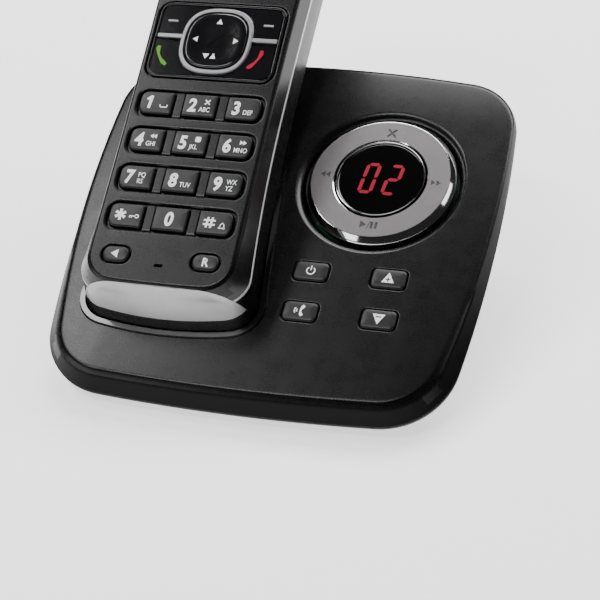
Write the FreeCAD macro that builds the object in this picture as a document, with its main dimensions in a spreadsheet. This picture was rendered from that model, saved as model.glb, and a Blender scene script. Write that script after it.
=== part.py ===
import FreeCAD, Part
import Sketcher
import math
import os

# Cordless phone standing in the cradle of its answering-machine base.
#
# Three frames are used, all in millimetres:
#   object frame   +X right, +Y away from the user, +Z up, the table at z = 0
#   base frame     lies on the sloping top of the base: x right, y up the slope, z out of the top
#   handset frame  lies on the handset's face: x right, y towards the earpiece, z out of the face,
#                  its origin in the middle of the twelve number keys
# The origin of the object frame is the middle of the whole object's footprint, on the table.

Vector = FreeCAD.Vector
Placement = FreeCAD.Placement
Rotation = FreeCAD.Rotation
X_AXIS = Vector(1, 0, 0)
Z_AXIS = Vector(0, 0, 1)
TINY = 1e-6

# --------------------------------------------------------------------------------------------
# Driving dimensions: one group per sub-assembly, each value written once.
# --------------------------------------------------------------------------------------------

SIZES = {
    # base, outer form
    "base_width": 123.4,            # over the rim
    "base_depth": 116.0,            # along the slope, over the rim
    "base_tilt": 20.0,              # slope of the top, degrees
    "rim_height": 4.0,              # rim above the table at the front
    "flank_front": 6.3,             # height of the slanted flank at the front
    "flank_back": 3.0,              # and at the back
    "crease_side": 1.5,             # how far the top's crease lies inside the rim
    "crease_front": 4.4,
    "crease_back": 1.0,
    "crease_corner": 16.0,
    "crease_bow": 290.0,            # radius of the crease's bowed sides
    "crease_widest": 20.0,          # where along the slope the crease is widest
    "rim_corner_front": 21.0,
    "rim_corner_back": 17.0,
    "rim_bow_side": 400.0,
    "rim_bow_front": 600.0,
    "rim_bow_back": 400.0,
    "rim_widest": 8.0,
    "lip_height": 1.8,              # lower lip under the rim
    "lip_inset": 0.6,
    "foot_side": 16.0,              # how far the underside lies inside the rim
    "foot_front": 3.0,
    "foot_back": 11.0,
    "foot_corner": 10.0,
    "base_wall": 2.2,
    "floor_wall": 2.0,
    "seam": 0.1,                    # gap between pieces that are fixed together
    # feet and screws of the base
    "pad_radius": 5.0,
    "pad_thick": 1.5,
    "pad_from_side": 26.0,
    "pad_from_front": 17.0,
    "pad_from_back": 33.0,
    "front_screw_from_side": 38.0,
    "back_screw_from_side": 25.3,
    "screw_from_front": 7.83,       # from the bowed edge beside the screw
    "screw_from_back": 15.74,
    "screw_radius": 1.4,
    "screw_head": 2.8,
    "screw_head_thick": 1.5,
    "screw_length": 7.0,
    "thread_play": 0.05,            # round a screw in the piece that it bites into
    "shank_play": 0.2,              # and in the piece that it holds down
    "head_play": 0.3,
    "bore_spare": 0.5,              # bore past a screw's tip
    "boss_radius": 3.8,
    "boss_top": 6.0,
    "boss_root": 0.5,
    "post_radius": 2.8,
    # control ring and its display
    "ring_from_right": 35.7,
    "ring_from_back": 40.4,
    "ring_outer": 21.5,
    "ring_inner": 13.2,
    "ring_chamfer": 1.6,
    "ring_top": 1.2,
    "ring_thick": 2.2,
    "ring_gap": 0.5,
    "ring_swing": 1.0,              # free height under the ring and under its carrier
    "carrier_thick": 1.2,
    "dish_width": 2.6,
    "dish_depth": 0.5,
    "bezel_outer": 12.8,
    "bezel_wall": 0.5,
    "bezel_top": 1.5,
    "window_thick": 2.0,
    "window_top": 1.1,
    "window_play": 0.05,
    "digit_width": 19.0,
    "digit_height": 12.5,
    "digit_corner": 0.5,
    # push buttons of the base
    "button_width": 9.7,
    "button_height": 6.0,
    "button_corner": 1.4,
    "button_pitch_x": 22.0,
    "button_pitch_y": 13.0,
    "button_from_ring": 38.6,
    "button_left_of_ring": 1.6,
    "button_top": 0.5,
    "button_gap": 0.3,
    "button_travel": 0.6,
    "flange": 0.8,                  # width of the flange that keeps a button in
    "flange_thick": 1.2,
    "base_board_level": 8.0,        # underside of the board below the top of the base
    "base_board_thick": 1.6,
    "board_margin_side": 12.5,
    "board_margin_front": 24.0,
    "board_margin_back": 28.0,
    "board_from_cradle": 3.0,
    "board_corner": 2.0,
    "mat_thick": 1.0,
    "mat_corner": 1.5,
    # sockets and loudspeaker of the base
    "socket_x": 12.0,
    "socket_width": 12.0,
    "socket_tall": 11.0,
    "socket_deep": 14.0,
    "socket_level": 5.0,
    "socket_proud": 4.2,            # how far the sockets stand out past the underside's back edge
    "line_opening_width": 6.6,
    "line_opening_tall": 6.2,
    "line_opening_deep": 10.0,
    "jack_bore": 2.75,
    "jack_deep": 9.0,
    "speaker_radius": 14.0,
    "speaker_thick": 6.0,
    "speaker_y": 8.0,
    "slot_width": 1.6,
    "slot_pitch": 4.0,
    "slot_length": 18.0,
    # how the handset lies in the base
    "handset_from_left": 38.2,
    "handset_from_front": 61.85,
    "handset_height": 21.1,         # key tops above the top of the base
    "handset_angle": 8.9,           # face against the top of the base, degrees
    "cradle_gap": 0.5,
    "cradle_wall": 1.6,
    "cradle_lip": 0.6,
    # handset, outer form
    "handset_length": 157.5,
    "handset_foot": 45.5,           # lowest end, from the middle of the number keys
    "handset_thick": 23.0,
    "low_margin": 6.3,              # handset beside its widest fitting, at the low end
    "waist_margin": 3.3,
    "top_margin": 4.4,
    "face_low_margin": 2.0,         # face beside its widest fitting
    "face_waist_margin": 1.9,
    "face_top_margin": 2.8,
    "face_level": 0.4,              # face below the key tops
    "waist_at": 18.0,
    "low_at": 38.0,                 # distances from the keys' middle where widths are given
    "top_at": 85.0,
    "parting": 6.0,                 # depth of the parting line below the key tops
    "belly": 16.0,                  # depth where the handset is widest and longest
    "end_slant": 0.53,              # how fast the low end runs out with depth
    "back_edge": 5.0,               # how far the back lies inside the outline
    "shoulder_rise": 3.0,           # level of the shoulder above the back, and its inset
    "shoulder_inset": 1.5,
    "face_setback": 2.5,            # face short of the handset's top end
    "face_low_bow": 300.0,
    "low_bow": 100.0,
    "low_corner": 8.0,
    "top_bow": 60.0,
    "top_corner": 13.0,
    "handset_wall": 1.8,
    "trim_thick": 1.0,
    "trim_proud": 0.2,
    "trim_width": 1.6,
    "chin_at": 37.3,
    "chin_depth": 11.0,
    # number keys
    "key_pitch_x": 13.0,
    "key_pitch_y": 11.8,
    "key_width": 9.8,
    "key_height": 6.9,
    "key_corner": 1.8,
    "key_gap": 0.3,
    "key_travel": 0.6,
    "key_play": 0.2,                # between a key's flange and what is over and under it
    "key_flange": 0.7,
    "key_flange_thick": 0.9,
    "tray_margin": 0.8,
    "tray_depth": 1.2,
    "small_key_width": 7.6,
    "small_key_height": 4.6,
    "small_key_y": 29.4,
    "end_flat": 0.1,                # half the straight part left between two round ends
    "key_mat_level": 6.6,
    "key_mat_thick": 1.0,
    "handset_board_thick": 1.2,
    "board_side_gap": 2.0,
    "board_from_ear": 1.0,
    # navigation cluster
    "panel_y": 38.6,
    "panel_width": 38.0,
    "panel_height": 24.6,
    "panel_corner": 3.5,
    "panel_thick": 1.1,
    "nav_radius": 9.0,
    "nav_gap": 0.4,
    "nav_frame_wall": 1.3,
    "nav_frame_rise": 0.6,
    "nav_carrier_thick": 0.8,
    "nav_carrier_inset": 1.0,
    "nav_wing_height": 1.3,
    "nav_wing_y": 1.0,
    "nav_top": 0.6,
    "nav_thick": 3.2,
    "side_key_width": 6.4,
    "side_key_height": 8.8,
    "side_key_x": 14.2,
    "side_key_corner": 1.6,
    # display, earpiece and the rest of the handset
    "lens_y": 71.5,
    "lens_width": 37.0,
    "lens_height": 34.0,
    "lens_corner": 3.0,
    "lens_thick": 1.2,
    "screen_width": 32.0,
    "screen_height": 27.0,
    "module_margin": 1.5,
    "module_thick": 2.2,
    "module_corner": 0.8,
    "ear_y": 99.0,
    "ear_slot_width": 9.0,
    "ear_slot_height": 1.2,
    "ear_slot_pitch": 2.8,
    "ear_slot_step": 2.0,           # outer slots shorter than the middle one
    "ear_radius": 7.5,
    "ear_thick": 3.0,
    "microphone_radius": 3.0,
    "microphone_thick": 2.0,
    "microphone_y": 31.0,
    "ringer_radius": 9.0,
    "ringer_thick": 3.0,
    "ringer_y": 84.0,
    "ringer_hole": 0.9,
    "ringer_hole_circle": 4.5,
    "door_low": 25.0,
    "door_length": 58.0,
    "door_width": 29.0,
    "door_thick": 1.4,
    "door_corner": 2.0,
    "cell_radius": 5.2,
    "cell_length": 44.5,
    "cell_tip": 1.0,
    "cell_tip_radius": 1.75,
    "cell_gap": 0.4,
    "cell_from_door": 0.6,
    "cell_clip_thick": 1.2,
    "cell_clip_inset": 0.5,
    "charge_pad_radius": 2.5,
    "charge_x": 8.0,
    "charge_y": 33.0,
    "charge_pin_radius": 1.2,
    "charge_pin_length": 4.0,
    "charge_gap": 0.3,
    "case_screw_y": 100.0,
    "case_screw_x": 14.0,
    "case_screw_length": 10.0,
}

doc = FreeCAD.newDocument("cordless_phone")
sheet = doc.addObject("Spreadsheet::Sheet", "dims")
FILLED = []


def fill_sheet(cells):
    """Write named values under those already in the sheet."""
    for alias, value in cells.items():
        FILLED.append(alias)
        row = len(FILLED)
        sheet.set(f"A{row}", alias)
        sheet.set(f"B{row}", repr(value))
        sheet.setAlias(f"B{row}", alias)
    doc.recompute()


class Sizes:
    """The sheet's values, read by name."""

    def __getattr__(self, name):
        return float(sheet.get(name))


D = Sizes()
NODES = {}
fill_sheet(SIZES)

# Widths of the handset: it is as wide as the widest thing on its face, with a margin on each side.
TRAY_WIDTH = 2 * D.key_pitch_x + D.key_width + 2 * D.tray_margin
FITTINGS = max(TRAY_WIDTH, D.panel_width, D.lens_width)
fill_sheet({
    "handset_low": FITTINGS + 2 * D.low_margin,
    "handset_waist": FITTINGS + 2 * D.waist_margin,
    "handset_top": FITTINGS + 2 * D.top_margin,
    "face_low": FITTINGS + 2 * D.face_low_margin,
    "face_waist": FITTINGS + 2 * D.face_waist_margin,
    "face_top": FITTINGS + 2 * D.face_top_margin,
})
FAR = 4 * D.handset_length      # longer than anything here, for blocks that cut
CLEAR = 5.0                     # how far a cutter stands out past the surface that it opens


# --------------------------------------------------------------------------------------------
# Outlines made of tangent arcs
# --------------------------------------------------------------------------------------------

def arc_between(centre, radius, start, end):
    """The shorter arc of a circle between two of its points."""
    towards = (start - centre) + (end - centre)
    towards.normalize()
    return Part.Arc(start, centre + towards * radius, end).toShape()


def meeting_point(first, first_distance, second, second_distance, near):
    """Of the two points at the given distances from two centres, the one closest to near."""
    across = second - first
    span = across.Length
    along = (span ** 2 + first_distance ** 2 - second_distance ** 2) / (2 * span)
    height = math.sqrt(first_distance ** 2 - along ** 2)
    across.normalize()
    side = Z_AXIS.cross(across)
    foot = first + across * along
    return min((foot + side * height, foot - side * height), key=lambda point: (point - near).Length)


def rim_point(centre, radius, corner_centre):
    """Where a corner arc touches the large circle with this centre."""
    towards = corner_centre - centre
    towards.normalize()
    return centre + towards * radius


def mirrored(point):
    return Vector(-point.x, point.y, point.z)


def bowed_square(half_width, front, back, side_bow, widest, front_bow, back_bow, front_corner, back_corner):
    """A square outline with bowed sides and round corners, in the XY plane."""
    side_centre = Vector(half_width - side_bow, widest, 0)
    front_centre = Vector(0, front + front_bow, 0)
    back_centre = Vector(0, back - back_bow, 0)
    low = meeting_point(front_centre, front_bow - front_corner, side_centre, side_bow - front_corner,
                        Vector(half_width - front_corner, front + front_corner, 0))
    high = meeting_point(back_centre, back_bow - back_corner, side_centre, side_bow - back_corner,
                         Vector(half_width - back_corner, back - back_corner, 0))
    front_touch = rim_point(front_centre, front_bow, low)
    side_low = rim_point(side_centre, side_bow, low)
    side_high = rim_point(side_centre, side_bow, high)
    back_touch = rim_point(back_centre, back_bow, high)
    edges = [
        arc_between(front_centre, front_bow, mirrored(front_touch), front_touch),
        arc_between(low, front_corner, front_touch, side_low),
        arc_between(side_centre, side_bow, side_low, side_high),
        arc_between(high, back_corner, side_high, back_touch),
        arc_between(back_centre, back_bow, back_touch, mirrored(back_touch)),
        arc_between(mirrored(high), back_corner, mirrored(back_touch), mirrored(side_high)),
        arc_between(mirrored(side_centre), side_bow, mirrored(side_high), mirrored(side_low)),
        arc_between(mirrored(low), front_corner, mirrored(side_low), mirrored(front_touch)),
    ]
    return Part.Wire(edges)


LEAST_HOLLOW = 0.02             # of a nearly straight flank, which keeps its radius finite


def waisted_bar(widths, foot, head, low_bow, grow):
    """The handset's long outline with hollow flanks: widths at three places, ends at foot and head."""
    low, waist, top = widths
    half_waist = waist / 2 + grow
    low_rise = D.waist_at + D.low_at
    top_rise = D.top_at - D.waist_at
    low_hollow = max((low - waist) / 2, LEAST_HOLLOW)
    top_hollow = max((top - waist) / 2, LEAST_HOLLOW)
    low_radius = (low_rise ** 2 + low_hollow ** 2) / (2 * low_hollow)
    top_radius = (top_rise ** 2 + top_hollow ** 2) / (2 * top_hollow)
    low_side = Vector(half_waist + low_radius, D.waist_at, 0)
    top_side = Vector(half_waist + top_radius, D.waist_at, 0)
    low_r = D.low_corner + grow
    top_r = D.top_corner + grow
    low_end = Vector(0, low_bow - foot, 0)
    top_end = Vector(0, head - D.top_bow, 0)
    low_bow_r = low_bow + grow
    top_bow_r = D.top_bow + grow
    corner_low = meeting_point(low_end, low_bow_r - low_r, low_side, low_radius + low_r,
                               Vector(low / 2 - D.low_corner, D.low_corner - foot, 0))
    corner_top = meeting_point(top_end, top_bow_r - top_r, top_side, top_radius + top_r,
                               Vector(top / 2 - D.top_corner, head - D.top_corner, 0))
    low_touch = rim_point(low_end, low_bow_r, corner_low)
    low_flank = rim_point(low_side, low_radius, corner_low)
    waist_point = Vector(half_waist, D.waist_at, 0)
    top_flank = rim_point(top_side, top_radius, corner_top)
    top_touch = rim_point(top_end, top_bow_r, corner_top)
    edges = [
        arc_between(low_end, low_bow_r, mirrored(low_touch), low_touch),
        arc_between(corner_low, low_r, low_touch, low_flank),
        arc_between(low_side, low_radius, low_flank, waist_point),
        arc_between(top_side, top_radius, waist_point, top_flank),
        arc_between(corner_top, top_r, top_flank, top_touch),
        arc_between(top_end, top_bow_r, top_touch, mirrored(top_touch)),
        arc_between(mirrored(corner_top), top_r, mirrored(top_touch), mirrored(top_flank)),
        arc_between(mirrored(top_side), top_radius, mirrored(top_flank), mirrored(waist_point)),
        arc_between(mirrored(low_side), low_radius, mirrored(waist_point), mirrored(low_flank)),
        arc_between(mirrored(corner_low), low_r, mirrored(low_flank), mirrored(low_touch)),
    ]
    return Part.Wire(edges)


def lift(wire, level):
    """A copy of an outline moved to a level."""
    moved = wire.copy()
    moved.translate(Vector(0, 0, level))
    return moved


def loft(wires):
    return Part.makeLoft(wires, True, True)


# --------------------------------------------------------------------------------------------
# The two outer forms, which every shell, seat and opening is cut from
# --------------------------------------------------------------------------------------------

def handset_form(grow):
    """The handset's outer form, grown outwards (or shrunk, below zero) by a distance."""
    head = D.handset_length - D.handset_foot
    parting_foot = D.handset_foot - D.end_slant * (D.belly - D.parting)
    face_foot = D.handset_foot - D.end_slant * (D.belly - D.face_level)
    face = (D.face_low, D.face_waist, D.face_top)
    body = (D.handset_low, D.handset_waist, D.handset_top)
    levels = [
        (-D.face_level + grow, face, face_foot, head - D.face_setback, D.face_low_bow, 0),
        (-D.parting, body, parting_foot, head, D.low_bow, 0),
        (-D.belly, body, D.handset_foot, head, D.low_bow, 0),
        (D.shoulder_rise - D.handset_thick, body, D.handset_foot, head, D.low_bow, -D.shoulder_inset),
        (-D.handset_thick - grow, body, D.handset_foot, head, D.low_bow, -D.back_edge),
    ]
    wires = []
    for level, widths, foot, end, bow, inset in levels:
        wires.append(lift(waisted_bar(widths, foot, end, bow, grow + inset), level))
    return loft(wires)


def crease_outline(inset):
    """The crease round the top of the base, moved inwards by a distance."""
    return bowed_square(D.base_width / 2 - D.crease_side - inset, -D.base_depth / 2 + D.crease_front + inset,
                        D.base_depth / 2 - D.crease_back - inset, D.crease_bow, D.crease_widest,
                        D.rim_bow_front, D.rim_bow_back, D.crease_corner - inset, D.crease_corner - inset)


def rim_outline(inset):
    return bowed_square(D.base_width / 2 - inset, -D.base_depth / 2 + inset, D.base_depth / 2 - inset,
                        D.rim_bow_side, D.rim_widest, D.rim_bow_front, D.rim_bow_back,
                        D.rim_corner_front - inset, D.rim_corner_back - inset)


RIM_SLOPE = math.degrees(math.atan((D.flank_front - D.flank_back) / D.base_depth))
RIM_PLANE = Placement(Vector(0, 0, -(D.flank_front + D.flank_back) / 2), Rotation(X_AXIS, RIM_SLOPE))


def on_rim(wire, drop):
    """An outline laid on the rim's plane, or that far below it."""
    laid = lift(wire, -drop)
    laid.Placement = RIM_PLANE.multiply(laid.Placement)
    return laid


def top_form(inset, skin, drop):
    """The upper part of the base in the base frame: its crease lofted to its rim."""
    return loft([lift(crease_outline(inset), -skin), on_rim(rim_outline(inset), drop)])


tilt = math.radians(D.base_tilt)
TOP_HEIGHT = D.rim_height + D.base_depth / 2 * math.sin(tilt) + D.flank_front * math.cos(tilt)
HANDSET_X = D.handset_from_left - D.base_width / 2
HANDSET_Y = D.handset_from_front - D.base_depth / 2
SEAT = Placement(Vector(HANDSET_X, HANDSET_Y, D.handset_height), Rotation(X_AXIS, D.handset_angle))


def middle_of_footprint():
    """How far the middle of the whole object lies behind the middle of the base."""
    centred = Placement(Vector(0, 0, TOP_HEIGHT), Rotation(X_AXIS, D.base_tilt))
    bounds = []
    for shape, place in ((handset_form(0), centred.multiply(SEAT)), (top_form(0, 0, 0), centred)):
        shape.Placement = place.multiply(shape.Placement)
        box = shape.optimalBoundingBox(False)
        bounds += [box.YMin, box.YMax]
    return (min(bounds) + max(bounds)) / 2


CENTRE_Y = middle_of_footprint()
# Worked-out places, kept in the sheet beside the sizes so that every sub-part can be bound to them.
fill_sheet({
    "centre_y": CENTRE_Y,
    "top_height": TOP_HEIGHT,
    "handset_x": HANDSET_X,
    "handset_y": HANDSET_Y,
    "ring_x": D.base_width / 2 - D.ring_from_right,
    "ring_y": D.base_depth / 2 - D.ring_from_back,
    "front_y": -D.base_depth / 2 * math.cos(tilt) + D.flank_front * math.sin(tilt),
    "back_y": D.base_depth / 2 * math.cos(tilt) + D.flank_back * math.sin(tilt),
    "board_left": HANDSET_X + D.handset_low / 2 + D.cradle_gap + D.cradle_wall + D.board_from_cradle,
})

BASE = Placement(Vector(0, -CENTRE_Y, TOP_HEIGHT), Rotation(X_AXIS, D.base_tilt))
HANDSET = BASE.multiply(SEAT)
STAND = Placement(Vector(0, -CENTRE_Y, 0), Rotation())


def moved(shape, place):
    """A copy of a shape in another frame."""
    copy = shape.copy()
    copy.Placement = place.multiply(copy.Placement)
    return copy


def box(x, y, width, height, low, high):
    """A box centred on x, y between two levels."""
    return Part.makeBox(width, height, high - low, Vector(x - width / 2, y - height / 2, low))


def rounded_box(x, y, width, height, low, high, corner):
    """A box with its four upright edges rounded."""
    block = box(x, y, width, height, low, high)
    upright = [edge for edge in block.Edges
               if abs(edge.Vertexes[0].Point.z - edge.Vertexes[1].Point.z) > (high - low) / 2]
    return block.makeFillet(corner, upright)


def rod(x, y, radius, low, high):
    return Part.makeCylinder(radius, high - low, Vector(x, y, low))


def keep(label, shape, place):
    """A free-form sub-part: its solid is set directly and then put in its frame."""
    part = doc.addObject("Part::Feature", label)
    part.Label = label
    part.Shape = shape
    part.Placement = place.multiply(part.Placement)
    NODES[label] = part
    return part


# --------------------------------------------------------------------------------------------
# Parametric bodies: sketches and pads bound to the sheet
# --------------------------------------------------------------------------------------------

# Placement of each frame as expressions of the sheet.
COS_BASE = "cos(dims.base_tilt)"
SIN_BASE = "sin(dims.base_tilt)"
FRAMES = {
    "stand": {"Base.y": "-dims.centre_y", "Rotation.Angle": "0"},
    "base": {"Base.y": "-dims.centre_y", "Base.z": "dims.top_height", "Rotation.Angle": "dims.base_tilt"},
    "handset": {
        "Base.x": "dims.handset_x",
        "Base.y": f"dims.handset_y * {COS_BASE} - dims.handset_height * {SIN_BASE} - dims.centre_y",
        "Base.z": f"dims.top_height + dims.handset_y * {SIN_BASE} + dims.handset_height * {COS_BASE}",
        "Rotation.Angle": "dims.base_tilt + dims.handset_angle",
    },
}


def start_body(label, frame):
    """A new body in one of the three frames, which becomes a node."""
    body = doc.addObject("PartDesign::Body", label)
    body.Label = label
    body.Placement = Placement(Vector(), Rotation(X_AXIS, 1))
    for path, expression in FRAMES[frame].items():
        body.setExpression(f"Placement.{path}", expression)
    NODES[label] = body
    return body


def start_sketch(body, x, y, level):
    """A sketch parallel to the body's XY plane, its own origin at x, y and level."""
    sketch = body.newObject("Sketcher::SketchObject", f"{body.Label}_sketch")
    plane = next(item for item in body.Origin.OriginFeatures if item.Role == "XY_Plane")
    sketch.AttachmentSupport = [(plane, "")]
    sketch.MapMode = "FlatFace"
    for axis, expression in zip("xyz", (x, y, level)):
        sketch.setExpression(f"AttachmentOffset.Base.{axis}", expression)
    return sketch


def named(sketch, constraint, name, expression):
    """Add a dimension to a sketch and bind it to the sheet."""
    index = sketch.addConstraint(constraint)
    sketch.renameConstraint(index, name)
    sketch.setExpression(f"Constraints.{name}", expression)


# Sizes that a sketch is drawn at before its dimensions are bound.
DRAWN_WIDTH = 10.0
DRAWN_HEIGHT = 8.0
DRAWN_RADII = (20.0, 16.0)


def rectangle(body, x, y, level, width, height):
    """A sketch of a rectangle centred on its own origin."""
    sketch = start_sketch(body, x, y, level)
    corners = [Vector(across * DRAWN_WIDTH / 2, along * DRAWN_HEIGHT / 2, 0)
               for across, along in ((-1, -1), (1, -1), (1, 1), (-1, 1))]
    for index, corner in enumerate(corners):
        sketch.addGeometry(Part.LineSegment(corner, corners[(index + 1) % 4]), False)
    for index in range(4):
        sketch.addConstraint(Sketcher.Constraint("Coincident", index, 2, (index + 1) % 4, 1))
    for index, direction in enumerate(("Horizontal", "Vertical", "Horizontal", "Vertical")):
        sketch.addConstraint(Sketcher.Constraint(direction, index))
    sketch.addConstraint(Sketcher.Constraint("Symmetric", 0, 1, 1, 2, -1, 1))
    named(sketch, Sketcher.Constraint("DistanceX", 0, 1, 0, 2, DRAWN_WIDTH), "width", width)
    named(sketch, Sketcher.Constraint("DistanceY", 1, 1, 1, 2, DRAWN_HEIGHT), "height", height)
    return sketch


def circles(body, x, y, level, radii):
    """A sketch of concentric circles round its own origin."""
    sketch = start_sketch(body, x, y, level)
    for index, (radius, drawn) in enumerate(zip(radii, DRAWN_RADII)):
        sketch.addGeometry(Part.Circle(Vector(), Z_AXIS, drawn), False)
        sketch.addConstraint(Sketcher.Constraint("Coincident", index, 3, -1, 1))
        named(sketch, Sketcher.Constraint("Radius", index, drawn), f"radius_{index}", radius)
    return sketch


def pad(body, sketch, length):
    """Pad a sketch upwards by a bound length."""
    feature = body.newObject("PartDesign::Pad", f"{body.Label}_pad")
    feature.Profile = sketch
    feature.setExpression("Length", length)
    body.Tip = feature
    doc.recompute()
    return feature


def pocket(body, sketch, length):
    """Pocket a sketch downwards by a bound length, and make sure that it cut something."""
    before = body.Shape.Volume
    feature = body.newObject("PartDesign::Pocket", f"{body.Label}_pocket")
    feature.Profile = sketch
    feature.setExpression("Length", length)
    body.Tip = feature
    doc.recompute()
    if body.Shape.Volume >= before - TINY:
        raise ValueError(f"{body.Label}: a pocket cut nothing")
    return feature


def round_edges(body, base, radius, wanted):
    """Fillet the edges of a feature that the test picks."""
    names = [f"Edge{index}" for index, edge in enumerate(base.Shape.Edges, start=1) if wanted(edge)]
    feature = body.newObject("PartDesign::Fillet", f"{body.Label}_fillet")
    feature.Base = (base, names)
    feature.setExpression("Radius", radius)
    body.Tip = feature
    doc.recompute()
    return feature


def is_upright(edge):
    """True for a straight edge that runs along the body's own Z."""
    if len(edge.Vertexes) != 2:
        return False
    run = edge.Vertexes[1].Point - edge.Vertexes[0].Point
    return math.hypot(run.x, run.y) < TINY < abs(run.z)


def plate(label, frame, x, y, low, width, height, thick, corner):
    """A flat plate with rounded corners."""
    body = start_body(label, frame)
    slab = pad(body, rectangle(body, x, y, low, width, height), thick)
    round_edges(body, slab, corner, is_upright)
    return body


def disc(label, frame, x, y, low, radii, thick):
    """A disc or, with two radii, a ring."""
    body = start_body(label, frame)
    pad(body, circles(body, x, y, low, radii), thick)
    return body


def push_key(label, frame, x, y, cap, levels, corner, flange):
    """A key or button: a rounded cap standing on a wider flange that keeps it in its hole.

    cap is (width, height); levels is (underside, top of the flange, top of the cap).
    """
    width, height = cap
    underside, shoulder, top = levels
    body = start_body(label, frame)
    pad(body, rectangle(body, x, y, underside, f"{width} + 2 * {flange}", f"{height} + 2 * {flange}"),
        f"({shoulder}) - ({underside})")
    stem = pad(body, rectangle(body, x, y, shoulder, width, height), f"({top}) - ({shoulder})")
    round_edges(body, stem, corner, is_upright)
    return body


# --------------------------------------------------------------------------------------------
# Base: shells
# --------------------------------------------------------------------------------------------

FOOT_FRONT = D.front_y + D.foot_front
FOOT_BACK = D.back_y - D.foot_back
SOCKET_FACE = FOOT_BACK + D.socket_proud


def bow_drop(radius, x):
    """How far a bowed edge has fallen back at a distance from its middle."""
    return radius - math.sqrt(radius ** 2 - x ** 2)


def screw_places():
    """Where the screws stand, each at its distance from the bowed edge beside it."""
    front_x = D.base_width / 2 - D.front_screw_from_side
    back_x = D.base_width / 2 - D.back_screw_from_side
    front = D.front_y + bow_drop(D.rim_bow_front, front_x) + D.screw_from_front
    back = D.back_y - bow_drop(D.rim_bow_back, back_x) - D.screw_from_back
    return [(side * x, y) for side in (-1, 1) for x, y in ((front_x, front), (back_x, back))]


SCREWS = screw_places()
PADS = [(side * (D.base_width / 2 - D.pad_from_side), y) for side in (-1, 1)
        for y in (D.front_y + D.pad_from_front, D.back_y - D.pad_from_back)]
BUTTON_X = D.ring_x - D.button_left_of_ring
BUTTON_Y = D.ring_y - D.button_from_ring
BUTTONS = {
    "power_button": (-1, 1),
    "volume_up_button": (1, 1),
    "paging_button": (-1, -1),
    "volume_down_button": (1, -1),
}


def to_base(shape):
    """A shape given over the table, brought into the base frame."""
    standing = Placement(Vector(0, 0, TOP_HEIGHT), Rotation(X_AXIS, D.base_tilt))
    return moved(shape, standing.inverse())


OPEN_BELOW = 1.0                # how far the cavity runs out below the rim
HOLE_DEPTH = 3 * D.base_wall    # of the openings in the top


def base_top_shell():
    """Upper shell: sloping top and flank, open below, with holes for the ring, buttons and cradle."""
    shell = top_form(0, 0, 0).cut(top_form(D.base_wall, D.base_wall, OPEN_BELOW))
    above = box(0, 0, FAR, FAR, -D.base_wall / 2, FAR)
    for x, y in SCREWS:
        post = to_base(rod(x, y, D.post_radius, D.boss_top + D.seam, 2 * TOP_HEIGHT)).cut(above)
        shell = shell.fuse(post)
    shell = shell.cut(moved(handset_form(D.cradle_gap + D.cradle_wall + D.seam), SEAT))
    shell = shell.cut(rod(D.ring_x, D.ring_y, D.ring_outer + D.ring_gap, -HOLE_DEPTH, CLEAR))
    shell = shell.cut(Part.makeCone(D.ring_outer + D.ring_gap, D.ring_outer + D.ring_gap + D.dish_width,
                                    D.dish_depth, Vector(D.ring_x, D.ring_y, -D.dish_depth)))
    for across, along in BUTTONS.values():
        shell = shell.cut(rounded_box(BUTTON_X + across * D.button_pitch_x / 2,
                                      BUTTON_Y + along * D.button_pitch_y / 2,
                                      D.button_width + 2 * D.button_gap, D.button_height + 2 * D.button_gap,
                                      -HOLE_DEPTH, CLEAR, D.button_corner + D.button_gap))
    tip = D.pad_thick + D.screw_head_thick + D.screw_length
    for x, y in SCREWS:
        shell = shell.cut(to_base(rod(x, y, D.screw_radius + D.thread_play, 0, tip + D.bore_spare)))
    return shell


def foot_outline(inset):
    """Outline of the underside, over the table."""
    half_depth = (FOOT_BACK - FOOT_FRONT) / 2 - inset
    outline = bowed_square(D.base_width / 2 - D.foot_side - inset, -half_depth, half_depth,
                           D.rim_bow_side, 0, D.rim_bow_front, D.rim_bow_back,
                           D.foot_corner - inset, D.foot_corner - inset)
    outline.translate(Vector(0, (FOOT_BACK + FOOT_FRONT) / 2, 0))
    return outline


def rim_over_table(inset, drop):
    """The rim's outline over the table, moved inwards and down."""
    standing = Placement(Vector(0, 0, TOP_HEIGHT), Rotation(X_AXIS, D.base_tilt))
    laid = on_rim(rim_outline(inset), drop)
    laid.Placement = standing.multiply(laid.Placement)
    return laid


SPEAKER_SLOTS = (-2, -1, 0, 1, 2)


def base_bottom_shell():
    """Lower shell: lip under the rim, walls running in to the underside, bosses and wall openings."""
    floor = D.pad_thick + D.floor_wall
    outer = loft([rim_over_table(0, D.seam), rim_over_table(D.lip_inset, D.lip_height)])
    outer = outer.fuse(loft([rim_over_table(D.lip_inset, D.lip_height),
                             lift(foot_outline(0), D.pad_thick)]))
    shell = outer.cut(loft([rim_over_table(D.base_wall, 0), lift(foot_outline(D.base_wall), floor)]))
    for x, y in SCREWS:
        shell = shell.fuse(rod(x, y, D.boss_radius, floor - D.boss_root, D.boss_top))
    seat = D.pad_thick + D.screw_head_thick + D.seam
    for x, y in SCREWS:
        shell = shell.cut(rod(x, y, D.screw_radius + D.shank_play, 0, D.boss_top + CLEAR))
        shell = shell.cut(rod(x, y, D.screw_head + D.head_play, 0, seat))
    for side in (-1, 1):
        shell = shell.cut(box(side * D.socket_x, SOCKET_FACE - D.socket_deep / 2,
                              D.socket_width + 2 * D.seam, D.socket_deep + 2 * D.seam, D.socket_level - D.seam,
                              D.socket_level + D.socket_tall + D.seam))
    for index in SPEAKER_SLOTS:
        shell = shell.cut(box(D.ring_x, D.speaker_y + index * D.slot_pitch, D.slot_length, D.slot_width,
                              0, floor + CLEAR))
    return shell


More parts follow.
